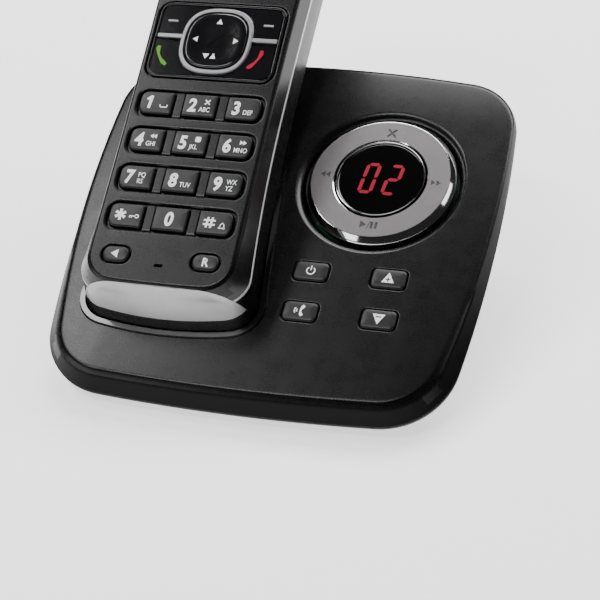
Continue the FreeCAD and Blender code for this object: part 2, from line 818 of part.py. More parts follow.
def cradle_liner():
    """The tray that the handset stands in: a skin that follows the handset's back and low end."""
    tray = handset_form(D.cradle_gap + D.cradle_wall).cut(handset_form(D.cradle_gap))
    for side in (-1, 1):
        tray = tray.cut(rod(side * D.charge_x, -D.charge_y, D.charge_pin_radius + D.seam,
                            -D.handset_thick - CLEAR, -D.handset_thick))
    return moved(tray, SEAT).cut(box(0, 0, FAR, FAR, D.cradle_lip, FAR))


keep("base_top_shell", base_top_shell(), BASE)
keep("base_bottom_shell", base_bottom_shell(), STAND)
keep("cradle_liner", cradle_liner(), BASE)

# --------------------------------------------------------------------------------------------
# Base: feet, screws, sockets and loudspeaker
# --------------------------------------------------------------------------------------------


def group(label, shapes, place):
    """Identical small pieces that share one node."""
    return keep(label, Part.makeCompound(shapes), place)


def screw(x, y, low, length):
    """A pan-head screw with its head at the low end."""
    neck = low + D.screw_head_thick
    return rod(x, y, D.screw_head, low, neck).fuse(rod(x, y, D.screw_radius, neck, neck + length))


def line_socket():
    """Modular socket for the telephone line, open to the back."""
    block = box(D.socket_x, SOCKET_FACE - D.socket_deep / 2, D.socket_width, D.socket_deep,
                D.socket_level, D.socket_level + D.socket_tall)
    middle = D.socket_level + D.socket_tall / 2
    opening = box(D.socket_x, SOCKET_FACE, D.line_opening_width, 2 * D.line_opening_deep,
                  middle - D.line_opening_tall / 2, middle + D.line_opening_tall / 2)
    return block.cut(opening)


def power_socket():
    """Low-voltage socket for the mains adapter, a round bore open to the back."""
    block = box(-D.socket_x, SOCKET_FACE - D.socket_deep / 2, D.socket_width, D.socket_deep,
                D.socket_level, D.socket_level + D.socket_tall)
    middle = Vector(-D.socket_x, SOCKET_FACE - D.jack_deep, D.socket_level + D.socket_tall / 2)
    return block.cut(Part.makeCylinder(D.jack_bore, 2 * D.jack_deep, middle, Vector(0, 1, 0)))


group("rubber_feet", [rod(x, y, D.pad_radius, 0, D.pad_thick) for x, y in PADS], STAND)
group("base_screws", [screw(x, y, D.pad_thick, D.screw_length) for x, y in SCREWS], STAND)
keep("line_socket", line_socket(), STAND)
keep("power_socket", power_socket(), STAND)
disc("base_speaker", "stand", "dims.ring_x", "dims.speaker_y",
     "dims.pad_thick + dims.floor_wall + dims.seam", ["dims.speaker_radius"], "dims.speaker_thick")

# --------------------------------------------------------------------------------------------
# Base: control ring, display and buttons
# --------------------------------------------------------------------------------------------

BOARD_TOP = "(-dims.base_board_level + dims.base_board_thick)"
board_right = "(dims.base_width / 2 - dims.board_margin_side)"
board_front = "(-dims.base_depth / 2 + dims.board_margin_front)"
board_back = "(dims.base_depth / 2 - dims.board_margin_back)"
plate("base_circuit_board", "base", f"(dims.board_left + {board_right}) / 2",
      f"({board_front} + {board_back}) / 2", "-dims.base_board_level", f"{board_right} - dims.board_left",
      f"{board_back} - {board_front}", "dims.base_board_thick", "dims.board_corner")

RING_BOTTOM = "(dims.ring_top - dims.ring_thick)"
ring = disc("control_ring", "base", "dims.ring_x", "dims.ring_y", RING_BOTTOM,
            ["dims.ring_outer", "dims.ring_inner"], "dims.ring_thick")
ring_pad = ring.Tip
outer_top = [f"Edge{index}" for index, edge in enumerate(ring_pad.Shape.Edges, start=1)
             if isinstance(edge.Curve, Part.Circle) and abs(edge.Curve.Radius - D.ring_outer) < TINY
             and edge.Curve.Center.z > D.ring_top - TINY]
chamfer = ring.newObject("PartDesign::Chamfer", "control_ring_chamfer")
chamfer.Base = (ring_pad, outer_top)
chamfer.setExpression("Size", "dims.ring_chamfer")
ring.Tip = chamfer
doc.recompute()
disc("ring_carrier", "base", "dims.ring_x", "dims.ring_y",
     f"{RING_BOTTOM} - dims.ring_swing - dims.carrier_thick",
     ["dims.ring_outer - dims.ring_gap", "dims.ring_inner + dims.ring_gap"], "dims.carrier_thick")
disc("display_bezel", "base", "dims.ring_x", "dims.ring_y", BOARD_TOP,
     ["dims.bezel_outer", "dims.bezel_outer - dims.bezel_wall"], f"dims.bezel_top - {BOARD_TOP}")
disc("display_window", "base", "dims.ring_x", "dims.ring_y", "dims.window_top - dims.window_thick",
     ["dims.bezel_outer - dims.bezel_wall - dims.window_play"], "dims.window_thick")
plate("digit_module", "base", "dims.ring_x", "dims.ring_y", BOARD_TOP, "dims.digit_width",
      "dims.digit_height", f"dims.window_top - dims.window_thick - dims.seam - {BOARD_TOP}",
      "dims.digit_corner")

MAT_TOP = f"({BOARD_TOP} + dims.mat_thick)"
button_x = "(dims.ring_x - dims.button_left_of_ring)"
button_y = "(dims.ring_y - dims.button_from_ring)"
plate("button_mat", "base", button_x, button_y, BOARD_TOP, "dims.button_pitch_x + dims.button_width",
      "dims.button_pitch_y + dims.button_height", "dims.mat_thick", "dims.mat_corner")
button_levels = (f"{MAT_TOP} + dims.button_travel + dims.button_gap / 2",
                 "-dims.base_wall - dims.button_gap", "dims.button_top")
for name, (across, along) in BUTTONS.items():
    push_key(name, "base", f"{button_x} + {across} * dims.button_pitch_x / 2",
             f"{button_y} + {along} * dims.button_pitch_y / 2", ("dims.button_width", "dims.button_height"),
             button_levels, "dims.button_corner", "dims.flange")

PIN_TIP = -D.handset_thick - D.charge_gap
group("charge_contacts", [rod(side * D.charge_x, -D.charge_y, D.charge_pin_radius,
                              PIN_TIP - D.charge_pin_length, PIN_TIP) for side in (-1, 1)], HANDSET)

# --------------------------------------------------------------------------------------------
# Handset: shells, chin and trim
# --------------------------------------------------------------------------------------------

def slab(low, high):
    """Everything between two levels of the handset frame."""
    return box(0, 0, FAR, FAR, low, high)


def chin_zone(grow):
    """The block in which the low end cap lies."""
    return box(0, -D.chin_at - FAR / 2 + grow, FAR, FAR, -D.chin_depth - grow, FAR)


SHELL = handset_form(0).cut(handset_form(-D.handset_wall))
FACE_LEVEL = -D.face_level
FACE_INNER = FACE_LEVEL - D.handset_wall
PANEL_FLOOR = FACE_LEVEL - D.panel_thick - D.seam
UNDER_FACE = 3 * FACE_INNER
BACK_LEVEL = -D.handset_thick
BACK_INSIDE = BACK_LEVEL + 2 * D.handset_wall
RINGER_HOLES = 6
ROWS = [1.5, 0.5, -0.5, -1.5]
KEY_NAMES = [["key_1", "key_2", "key_3"], ["key_4", "key_5", "key_6"], ["key_7", "key_8", "key_9"],
             ["key_star", "key_0", "key_hash"]]
SMALL_KEYS = {"back_key": -1, "recall_key": 1}
NAV_HOLE = D.nav_radius + D.nav_gap
SIDE_KEYS = {
    "talk_key": (-1, -1),
    "end_key": (1, -1),
    "left_soft_key": (-1, 1),
    "right_soft_key": (1, 1),
}
SIDE_KEY_Y = D.nav_wing_y + D.nav_wing_height / 2 + D.key_gap + D.side_key_height / 2


def key_holes():
    """The keypad's trays with one hole per key, as solids to cut away."""
    cuts = []
    for row, names in zip(ROWS, KEY_NAMES):
        y = row * D.key_pitch_y
        cuts.append(rounded_box(0, y, TRAY_WIDTH, D.key_height + 2 * D.tray_margin,
                                FACE_LEVEL - D.tray_depth, CLEAR, D.key_corner + D.tray_margin))
        for column in range(len(names)):
            cuts.append(rounded_box((column - 1) * D.key_pitch_x, y, D.key_width + 2 * D.key_gap,
                                    D.key_height + 2 * D.key_gap, UNDER_FACE, CLEAR,
                                    D.key_corner + D.key_gap))
    for side in SMALL_KEYS.values():
        cuts.append(rounded_box(side * D.key_pitch_x, -D.small_key_y, D.small_key_width + 2 * D.key_gap,
                                D.small_key_height + 2 * D.key_gap, UNDER_FACE, CLEAR,
                                D.small_key_height / 2 - D.end_flat + D.key_gap))
    return cuts


def side_key_cut(across, along):
    """The opening of one side key, as a solid to cut away."""
    y = D.panel_y + D.nav_wing_y + along * (SIDE_KEY_Y - D.nav_wing_y)
    return rounded_box(across * D.side_key_x, y,
                       D.side_key_width + 2 * D.key_gap, D.side_key_height + 2 * D.key_gap,
                       UNDER_FACE, CLEAR, D.side_key_corner + D.key_gap)


def handset_front_shell():
    """Front half: the face with its keypad, navigation, display and earpiece openings."""
    shell = SHELL.common(slab(-D.parting, FAR / 2)).cut(chin_zone(D.seam))
    for cut in key_holes():
        shell = shell.cut(cut)
    shell = shell.cut(rounded_box(0, D.panel_y, D.panel_width + 2 * D.seam, D.panel_height + 2 * D.seam,
                                  PANEL_FLOOR, CLEAR, D.panel_corner))
    shell = shell.cut(rod(0, D.panel_y, NAV_HOLE, UNDER_FACE, CLEAR))
    for across, along in SIDE_KEYS.values():
        shell = shell.cut(side_key_cut(across, along))
    shell = shell.cut(rounded_box(0, D.lens_y, D.lens_width + 2 * D.seam, D.lens_height + 2 * D.seam,
                                  FACE_LEVEL - D.lens_thick - D.seam, CLEAR, D.lens_corner))
    shell = shell.cut(box(0, D.lens_y, D.screen_width, D.screen_height, UNDER_FACE, CLEAR))
    for index in (-1, 0, 1):
        shell = shell.cut(rounded_box(0, D.ear_y + index * D.ear_slot_pitch,
                                      D.ear_slot_width - D.ear_slot_step * abs(index), D.ear_slot_height,
                                      UNDER_FACE, CLEAR, D.ear_slot_height / 2 - D.end_flat / 2))
    return shell


def handset_back_shell():
    """Back half: battery bay opening, charging pads, ringer holes and screw seats."""
    shell = SHELL.common(slab(-FAR / 2, -D.parting - D.trim_thick - D.seam)).cut(chin_zone(D.seam))
    shell = shell.cut(rounded_box(0, D.door_length / 2 - D.door_low, D.door_width + 2 * D.seam,
                                  D.door_length + 2 * D.seam, BACK_LEVEL - CLEAR, BACK_INSIDE,
                                  D.door_corner + D.seam))
    for side in (-1, 1):
        shell = shell.cut(rod(side * D.charge_x, -D.charge_y, D.charge_pad_radius + D.seam,
                              BACK_LEVEL - CLEAR, BACK_INSIDE))
        shell = shell.cut(rod(side * D.case_screw_x, D.case_screw_y, D.screw_head + D.seam,
                              BACK_LEVEL - CLEAR, BACK_INSIDE))
    for index in range(RINGER_HOLES):
        angle = 2 * math.pi * index / RINGER_HOLES
        shell = shell.cut(rod(D.ringer_hole_circle * math.cos(angle),
                              D.ringer_y + D.ringer_hole_circle * math.sin(angle), D.ringer_hole,
                              BACK_LEVEL - CLEAR, BACK_INSIDE))
    return shell


def handset_trim():
    """The bright line between the two halves, standing slightly proud."""
    level = slab(-D.parting - D.trim_thick, -D.parting - D.seam)
    band = handset_form(D.trim_proud).common(level).cut(handset_form(-D.trim_width))
    return band.cut(chin_zone(D.seam))


def chin_cap():
    """The satin cap over the handset's low end."""
    return SHELL.common(chin_zone(0))


keep("handset_front_shell", handset_front_shell(), HANDSET)
keep("handset_back_shell", handset_back_shell(), HANDSET)
keep("handset_trim", handset_trim(), HANDSET)
keep("chin_cap", chin_cap(), HANDSET)

# --------------------------------------------------------------------------------------------
# Handset: keys
# --------------------------------------------------------------------------------------------

KEY_MAT_TOP = "(-dims.key_mat_level + dims.key_mat_thick)"
KEY_SHOULDER = "(-dims.face_level - dims.handset_wall - dims.key_play)"
key_levels = (f"{KEY_MAT_TOP} + dims.key_travel + dims.key_play", KEY_SHOULDER, "0")
for row, names in zip(ROWS, KEY_NAMES):
    for column, name in enumerate(names):
        push_key(name, "handset", f"{column - 1} * dims.key_pitch_x", f"{row} * dims.key_pitch_y",
                 ("dims.key_width", "dims.key_height"), key_levels, "dims.key_corner", "dims.key_flange")
for name, side in SMALL_KEYS.items():
    push_key(name, "handset", f"{side} * dims.key_pitch_x", "-dims.small_key_y",
             ("dims.small_key_width", "dims.small_key_height"), key_levels,
             "dims.small_key_height / 2 - dims.end_flat", "dims.key_flange")
side_offset = "(dims.nav_wing_height / 2 + dims.key_gap + dims.side_key_height / 2)"
for name, (across, along) in SIDE_KEYS.items():
    push_key(name, "handset", f"{across} * dims.side_key_x",
             f"dims.panel_y + dims.nav_wing_y + {along} * {side_offset}",
             ("dims.side_key_width", "dims.side_key_height"), key_levels, "dims.side_key_corner",
             "dims.key_flange / 2")
mat_low = "(-dims.small_key_y - dims.small_key_height)"
mat_high = "(dims.panel_y + dims.panel_height / 2)"
plate("key_mat", "handset", "0", f"({mat_low} + {mat_high}) / 2", "-dims.key_mat_level",
      "2 * dims.key_pitch_x + dims.key_width", f"{mat_high} - {mat_low}", "dims.key_mat_thick",
      "dims.board_corner")

# Navigation cluster.
panel = plate("nav_panel", "handset", "0", "dims.panel_y", "-dims.face_level - dims.panel_thick",
              "dims.panel_width", "dims.panel_height", "dims.panel_thick", "dims.panel_corner - dims.seam")
pocket(panel, circles(panel, "0", "dims.panel_y", "-dims.face_level",
                      ["dims.nav_radius + dims.nav_gap + dims.nav_frame_wall + dims.seam"]),
       "2 * dims.panel_thick")
for across, along in SIDE_KEYS.values():
    window = rectangle(panel, f"{across} * dims.side_key_x",
                       f"dims.panel_y + dims.nav_wing_y + {along} * {side_offset}", "-dims.face_level",
                       "dims.side_key_width + 2 * dims.key_gap", "dims.side_key_height + 2 * dims.key_gap")
    pocket(panel, window, "2 * dims.panel_thick")
disc("nav_frame", "handset", "0", "dims.panel_y", "-dims.face_level - dims.panel_thick",
     ["dims.nav_radius + dims.nav_gap + dims.nav_frame_wall", "dims.nav_radius + dims.nav_gap"],
     "dims.panel_thick + dims.nav_frame_rise")
disc("nav_key", "handset", "0", "dims.panel_y", "dims.nav_top - dims.nav_thick", ["dims.nav_radius"],
     "dims.nav_thick")
disc("nav_carrier", "handset", "0", "dims.panel_y",
     "dims.nav_top - dims.nav_thick - dims.key_travel - dims.nav_carrier_thick",
     ["dims.nav_radius - dims.nav_carrier_inset"], "dims.nav_carrier_thick")

# --------------------------------------------------------------------------------------------
# Handset: display, sound, boards and power
# --------------------------------------------------------------------------------------------

FACE_INSIDE = "(-dims.face_level - dims.handset_wall)"
plate("display_lens", "handset", "0", "dims.lens_y", "-dims.face_level - dims.lens_thick",
      "dims.lens_width", "dims.lens_height", "dims.lens_thick", "dims.lens_corner - dims.seam")
plate("display_module", "handset", "0", "dims.lens_y", f"{FACE_INSIDE} - dims.module_thick - dims.seam",
      "dims.screen_width + 2 * dims.module_margin", "dims.screen_height + 2 * dims.module_margin",
      "dims.module_thick", "dims.module_corner")
disc("earpiece", "handset", "0", "dims.ear_y", f"{FACE_INSIDE} - dims.ear_thick - dims.seam",
     ["dims.ear_radius"], "dims.ear_thick")
disc("microphone", "handset", "0", "-dims.microphone_y - dims.seam",
     f"{FACE_INSIDE} - dims.microphone_thick - dims.seam", ["dims.microphone_radius"],
     "dims.microphone_thick")
disc("ringer", "handset", "0", "dims.ringer_y", "-dims.handset_thick + dims.handset_wall + dims.seam",
     ["dims.ringer_radius"], "dims.ringer_thick")
board_high = "(dims.ear_y - dims.ear_radius - dims.board_from_ear)"
plate("handset_circuit_board", "handset", "0", f"({mat_low} + {board_high}) / 2",
      "-dims.key_mat_level - dims.handset_board_thick - dims.seam",
      "dims.handset_waist - 2 * (dims.handset_wall + dims.board_side_gap)", f"{board_high} - {mat_low}",
      "dims.handset_board_thick", "dims.board_corner")
door_middle = "(dims.door_length / 2 - dims.door_low)"
plate("battery_door", "handset", "0", door_middle, "-dims.handset_thick", "dims.door_width",
      "dims.door_length", "dims.door_thick", "dims.door_corner")
CELL_LEVEL = BACK_LEVEL + D.door_thick + D.cell_from_door + D.cell_radius
CELL_LOW = D.door_length / 2 - D.door_low - D.cell_length / 2


def cell(side):
    """One rechargeable cell lying along the handset, with its raised end cap."""
    x = side * (D.cell_radius + D.cell_gap / 2)
    along = Vector(0, 1, 0)
    length = D.cell_length - D.cell_tip
    can = Part.makeCylinder(D.cell_radius, length, Vector(x, CELL_LOW, CELL_LEVEL), along)
    tip = Part.makeCylinder(D.cell_tip_radius, D.cell_tip, Vector(x, CELL_LOW + length, CELL_LEVEL), along)
    return can.fuse(tip)


def cell_clip(y):
    """A sprung contact plate across the end of both cells."""
    reach = D.cell_radius - D.cell_clip_inset
    return box(0, y, 4 * D.cell_radius, D.cell_clip_thick, CELL_LEVEL - reach, CELL_LEVEL + reach)


group("battery_cells", [cell(side) for side in (-1, 1)], HANDSET)
group("battery_contacts", [cell_clip(CELL_LOW - D.cell_clip_thick / 2 - D.seam),
                           cell_clip(CELL_LOW + D.cell_length + D.cell_clip_thick / 2 + D.seam)], HANDSET)
group("charging_pads", [rod(side * D.charge_x, -D.charge_y, D.charge_pad_radius, BACK_LEVEL,
                            BACK_LEVEL + D.handset_wall) for side in (-1, 1)], HANDSET)
group("case_screws", [screw(side * D.case_screw_x, D.case_screw_y, BACK_LEVEL + D.seam,
                            D.case_screw_length) for side in (-1, 1)], HANDSET)

# --------------------------------------------------------------------------------------------
# Check every object, then write one file per sub-part
# --------------------------------------------------------------------------------------------

doc.recompute()
for item in doc.Objects:
    if "Invalid" in item.State or "Error" in item.State:
        raise ValueError(f"{item.Label} failed: {item.State}")
for label, node in NODES.items():
    if node.Shape.isNull() or not node.Shape.isValid():
        raise ValueError(f"{label} has no valid shape")

os.makedirs("parts", exist_ok=True)
for label, node in NODES.items():
    node.Shape.exportStep(f"parts/{label}.step")
    print(f"{label}: {len(node.Shape.Solids)} solid(s), {node.Shape.Volume / 1000:.2f} cm3")
print(f"{len(NODES)} nodes")
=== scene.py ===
"""Cordless phone standing in its answering-machine base: its visible pieces and their finishes."""

import logging
import math
from dataclasses import dataclass, field
from enum import Enum
from typing import Any, Callable, Iterable, Mapping, Sequence

import bmesh
import bpy
from mathutils import Matrix, Vector


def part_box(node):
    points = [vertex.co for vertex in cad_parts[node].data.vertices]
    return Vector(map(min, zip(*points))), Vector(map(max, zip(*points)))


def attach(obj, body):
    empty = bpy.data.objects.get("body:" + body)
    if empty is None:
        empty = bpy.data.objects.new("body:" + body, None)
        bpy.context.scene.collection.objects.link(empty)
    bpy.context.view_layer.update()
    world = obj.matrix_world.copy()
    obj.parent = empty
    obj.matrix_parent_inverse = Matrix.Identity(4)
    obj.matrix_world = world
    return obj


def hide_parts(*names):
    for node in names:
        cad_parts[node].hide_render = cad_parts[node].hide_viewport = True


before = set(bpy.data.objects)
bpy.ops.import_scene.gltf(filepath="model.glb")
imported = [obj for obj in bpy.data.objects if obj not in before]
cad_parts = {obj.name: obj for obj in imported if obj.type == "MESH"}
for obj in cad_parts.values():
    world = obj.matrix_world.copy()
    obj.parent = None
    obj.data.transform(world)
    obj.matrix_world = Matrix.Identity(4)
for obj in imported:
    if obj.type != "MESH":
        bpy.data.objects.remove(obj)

LOG = logging.getLogger("phone")
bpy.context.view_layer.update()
MILLIMETRES = Matrix.Scale(0.001, 4)
Form = bmesh.types.BMesh
Outline = list[Vector]
Colour = tuple[float, float, float]


# Places: the three frames of the object, in millimetres


@dataclass(frozen=True)
class Places:
    """The frames that the pieces are modelled in, matching the frame's own layout."""

    base_depth: float = 116.0
    tilt: float = 20.0
    rim_height: float = 4.0
    flank_front: float = 6.3
    flank_back: float = 3.0
    socket_face_from_back: float = 6.8
    handset_angle: float = 8.9
    handset_x: float = -23.5
    handset_y: float = 3.85
    handset_height: float = 21.1
    ring_x: float = 26.0
    ring_y: float = 17.6

    @property
    def slope(self) -> float:
        """Slope of the base's top in radians."""
        return math.radians(self.tilt)

    @property
    def top_height(self) -> float:
        """Height of the middle of the base's top over the table."""
        rise = self.base_depth / 2 * math.sin(self.slope)
        return self.rim_height + rise + self.flank_front * math.cos(self.slope)

    @property
    def front_y(self) -> float:
        """Front edge of the base over the table, from the base's middle."""
        return -self.base_depth / 2 * math.cos(self.slope) + self.flank_front * math.sin(self.slope)

    @property
    def back_y(self) -> float:
        """Back edge of the base over the table, from the base's middle."""
        return self.base_depth / 2 * math.cos(self.slope) + self.flank_back * math.sin(self.slope)

    def stand(self) -> Matrix:
        """Frame on the table under the middle of the base."""
        socket_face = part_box("line_socket")[1].y * 1000
        return Matrix.Translation((0, socket_face - self.back_y + self.socket_face_from_back, 0))

    def base(self) -> Matrix:
        """Frame on the sloping top of the base."""
        return self.stand() @ Matrix.Translation((0, 0, self.top_height)) @ Matrix.Rotation(
            self.slope, 4, "X"
        )

    def seat(self) -> Matrix:
        """The handset's frame seen from the base's."""
        seat = Matrix.Translation((self.handset_x, self.handset_y, self.handset_height))
        return seat @ Matrix.Rotation(math.radians(self.handset_angle), 4, "X")

    def handset(self) -> Matrix:
        """Frame on the handset's key tops, with its origin in the middle of the number keys."""
        return self.base() @ self.seat()

    def ring(self) -> Matrix:
        """Frame in the middle of the control ring, on the base's top."""
        return self.base() @ Matrix.Translation((self.ring_x, self.ring_y, 0))


PLACES = Places()


# Outlines made of tangent arcs


def arc(centre: Vector, start: Vector, end: Vector, steps: int) -> Outline:
    """Points along the shorter arc between two points of a circle, without the last one.

    Args:
        centre: Middle of the circle.
        start: First point.
        end: Point where the arc ends.
        steps: How many points to give.

    Returns:
        The points, the first of them being the start.
    """
    first = math.atan2(start.y - centre.y, start.x - centre.x)
    turn = math.atan2(end.y - centre.y, end.x - centre.x) - first
    turn = (turn + math.pi) % (2 * math.pi) - math.pi
    radius = (start - centre).length
    return [
        centre + radius * Vector((math.cos(first + turn * i / steps), math.sin(first + turn * i / steps)))
        for i in range(steps)
    ]


def meeting(first: Vector, reach: float, second: Vector, other_reach: float, near: Vector) -> Vector:
    """The point at two given distances from two centres that lies closest to a third point.

    Args:
        first: First centre.
        reach: Distance from the first centre.
        second: Second centre.
        other_reach: Distance from the second centre.
        near: Point that tells which of the two answers is meant.

    Returns:
        The meeting point.
    """
    across = second - first
    span = across.length
    along = (span**2 + reach**2 - other_reach**2) / (2 * span)
    height = math.sqrt(reach**2 - along**2)
    across.normalize()
    side = Vector((-across.y, across.x)) * height
    foot = first + across * along
    return min((foot + side, foot - side), key=lambda point: (point - near).length)


def touch(centre: Vector, radius: float, corner: Vector) -> Vector:
    """Where a corner arc touches the large circle with this centre."""
    return centre + (corner - centre).normalized() * radius


def flip(point: Vector) -> Vector:
    """The point on the other side of the middle line."""
    return Vector((-point.x, point.y))


@dataclass(frozen=True)
class BowedSquare:
    """A square outline with bowed sides and round corners."""

    half_width: float
    front: float
    back: float
    side_bow: float
    widest: float
    front_bow: float
    back_bow: float
    front_corner: float
    back_corner: float

    def inset(self, by: float) -> "BowedSquare":
        """The same outline moved inwards."""
        return BowedSquare(
            self.half_width - by, self.front + by, self.back - by, self.side_bow, self.widest,
            self.front_bow, self.back_bow, self.front_corner - by, self.back_corner - by,
        )

    def points(self) -> Outline:
        """The outline's points, in the same number and order for every size."""
        side = Vector((self.half_width - self.side_bow, self.widest))
        front = Vector((0, self.front + self.front_bow))
        back = Vector((0, self.back - self.back_bow))
        low_guess = Vector((self.half_width - self.front_corner, self.front + self.front_corner))
        high_guess = Vector((self.half_width - self.back_corner, self.back - self.back_corner))
        low = meeting(
            front, self.front_bow - self.front_corner, side, self.side_bow - self.front_corner, low_guess
        )
        high = meeting(
            back, self.back_bow - self.back_corner, side, self.side_bow - self.back_corner, high_guess
        )
        front_touch = touch(front, self.front_bow, low)
        side_low = touch(side, self.side_bow, low)
        side_high = touch(side, self.side_bow, high)
        back_touch = touch(back, self.back_bow, high)
        corner, long = 14, 12
        return [
            *arc(front, flip(front_touch), front_touch, long),
            *arc(low, front_touch, side_low, corner),
            *arc(side, side_low, side_high, long),
            *arc(high, side_high, back_touch, corner),
            *arc(back, back_touch, flip(back_touch), long),
            *arc(flip(high), flip(back_touch), flip(side_high), corner),
            *arc(flip(side), flip(side_high), flip(side_low), long),
            *arc(flip(low), flip(side_low), flip(front_touch), corner),
        ]


@dataclass(frozen=True)
class WaistedBar:
    """The handset's long outline with hollow flanks."""

    low: float
    waist: float
    top: float
    foot: float
    head: float
    low_bow: float = 100.0
    low_corner: float = 8.0
    top_bow: float = 60.0
    top_corner: float = 13.0
    waist_at: float = 18.0
    low_at: float = 38.0
    top_at: float = 85.0

    def towards(self, other: "WaistedBar", share: float) -> "WaistedBar":
        """An outline part of the way from this one to another.

        Args:
            other: The outline at a share of one.
            share: How far along, from zero to one.

        Returns:
            The outline between.
        """
        names = ("low", "waist", "top", "foot", "head", "low_bow")
        mixed = [getattr(self, n) + share * (getattr(other, n) - getattr(self, n)) for n in names]
        return WaistedBar(*mixed)

    def points(self, grow: float) -> Outline:
        """The outline's points, grown outwards by a distance.

        Args:
            grow: The distance.

        Returns:
            The points, counter-clockwise.
        """
        half_waist = self.waist / 2 + grow
        low_rise = self.waist_at + self.low_at
        top_rise = self.top_at - self.waist_at
        low_hollow = max((self.low - self.waist) / 2, 0.02)
        top_hollow = max((self.top - self.waist) / 2, 0.02)
        low_radius = (low_rise**2 + low_hollow**2) / (2 * low_hollow)
        top_radius = (top_rise**2 + top_hollow**2) / (2 * top_hollow)
        low_side = Vector((half_waist + low_radius, self.waist_at))
        top_side = Vector((half_waist + top_radius, self.waist_at))
        low_r, top_r = self.low_corner + grow, self.top_corner + grow
        low_bow, top_bow = self.low_bow + grow, self.top_bow + grow
        low_end = Vector((0, self.low_bow - self.foot))
        top_end = Vector((0, self.head - self.top_bow))
        low_guess = Vector((self.low / 2 - self.low_corner, self.low_corner - self.foot))
        top_guess = Vector((self.top / 2 - self.top_corner, self.head - self.top_corner))
        corner_low = meeting(low_end, low_bow - low_r, low_side, low_radius + low_r, low_guess)
        corner_top = meeting(top_end, top_bow - top_r, top_side, top_radius + top_r, top_guess)
        low_touch = touch(low_end, low_bow, corner_low)
        low_flank = touch(low_side, low_radius, corner_low)
        waist_point = Vector((half_waist, self.waist_at))
        top_flank = touch(top_side, top_radius, corner_top)
        top_touch = touch(top_end, top_bow, corner_top)
        corner, flank, end = 10, 10, 10
        return [
            *arc(low_end, flip(low_touch), low_touch, end),
            *arc(corner_low, low_touch, low_flank, corner),
            *arc(low_side, low_flank, waist_point, flank),
            *arc(top_side, waist_point, top_flank, flank),
            *arc(corner_top, top_flank, top_touch, corner),
            *arc(top_end, top_touch, flip(top_touch), end),
            *arc(flip(corner_top), flip(top_touch), flip(top_flank), corner),
            *arc(flip(top_side), flip(top_flank), flip(waist_point), flank),
            *arc(flip(low_side), flip(waist_point), flip(low_flank), flank),
            *arc(flip(corner_low), flip(low_flank), flip(low_touch), corner),
        ]


@dataclass(frozen=True)
class Patch:
    """A rectangle with its own radius at each corner: low left, low right, high right, high left."""

    left: float
    low: float
    right: float
    high: float
    corners: tuple[float, float, float, float]

    @staticmethod
    def centred(x: float, y: float, width: float, height: float, corner: float) -> "Patch":
        """A patch with equal corners round a middle point."""
        return Patch(x - width / 2, y - height / 2, x + width / 2, y + height / 2, (corner,) * 4)

    def inset(self, by: float, low_by: float | None = None) -> "Patch":
        """The patch moved inwards, by another distance along its low side if that is given.

        Args:
            by: The distance.
            low_by: The distance along the low side.

        Returns:
            The smaller patch.
        """
        low_by = by if low_by is None else low_by
        corners = tuple(max(radius - by, 0.06) for radius in self.corners)
        return Patch(self.left + by, self.low + low_by, self.right - by, self.high - by, corners)

    def points(self, steps: int = 6) -> Outline:
        """The outline's points, counter-clockwise.

        Args:
            steps: Number of runs round each corner.

        Returns:
            The points.
        """
        spots = [
            (self.left, self.low), (self.right, self.low), (self.right, self.high), (self.left, self.high)
        ]
        signs = [(1, 1), (-1, 1), (-1, -1), (1, -1)]
        result = []
        for index, ((x, y), (sx, sy), radius) in enumerate(zip(spots, signs, self.corners)):
            centre = Vector((x + sx * radius, y + sy * radius))
            start = math.pi + index * math.pi / 2
            for step in range(steps + 1):
                angle = start + step / steps * math.pi / 2
                result.append(centre + radius * Vector((math.cos(angle), math.sin(angle))))
        return result


def squircle(half: float, power: float = 2.9, steps: int = 72, x: float = 0.0, y: float = 0.0) -> Outline:
    """A rounded square outline.

    Args:
        half: Half its width.
        power: 2 gives a circle, more gives squarer corners.
        steps: Number of points.
        x: Middle across.
        y: Middle along.

    Returns:
        The points, counter-clockwise.
    """
    result = []
    for index in range(steps):
        angle = 2 * math.pi * index / steps
        c, s = math.cos(angle), math.sin(angle)
        radius = half / (abs(c) ** power + abs(s) ** power) ** (1 / power)
        result.append(Vector((x + radius * c, y + radius * s)))
    return result


def disc_outline(radius: float, steps: int = 48, x: float = 0.0, y: float = 0.0) -> Outline:
    """A circle's points."""
    return squircle(radius, 2.0, steps, x, y)


def at(outline: Outline, level: float) -> Outline:
    """An outline lifted to a level."""
    return [Vector((point.x, point.y, level)) for point in outline]


# Shaping


class Cut(Enum):
    """What a tool does to the form that it meets."""

    TAKE = "DIFFERENCE"
    KEEP = "INTERSECT"
    JOIN = "UNION"


def skin(sections: Sequence[Outline]) -> Form:
    """A closed solid skinned through matching outlines.

    Args:
        sections: Outlines with the same number of points, from one end to the other.

    Returns:
        The solid, its faces pointing outwards.
    """
    form = bmesh.new()
    bmesh.ops.create_circle(form, cap_ends=True, radius=1.0, segments=len(sections[0]))
    form.verts.ensure_lookup_table()
    order = list(form.verts)
    edges = list(form.edges)
    for vert, point in zip(order, sections[0]):
        vert.co = point
    for section in sections[1:]:
        grown = bmesh.ops.extrude_edge_only(form, edges=edges)["geom"]
        fresh = {item for item in grown if isinstance(item, bmesh.types.BMVert)}
        edges = [
            item for item in grown
            if isinstance(item, bmesh.types.BMEdge) and item.verts[0] in fresh and item.verts[1] in fresh
        ]
        above = []
        for vert in order:
            above.append(next(e.other_vert(vert) for e in vert.link_edges if e.other_vert(vert) in fresh))
        order = above
        for vert, point in zip(order, section):
            vert.co = point
    bmesh.ops.edgeloop_fill(form, edges=edges)
    bmesh.ops.recalc_face_normals(form, faces=form.faces)
    return form


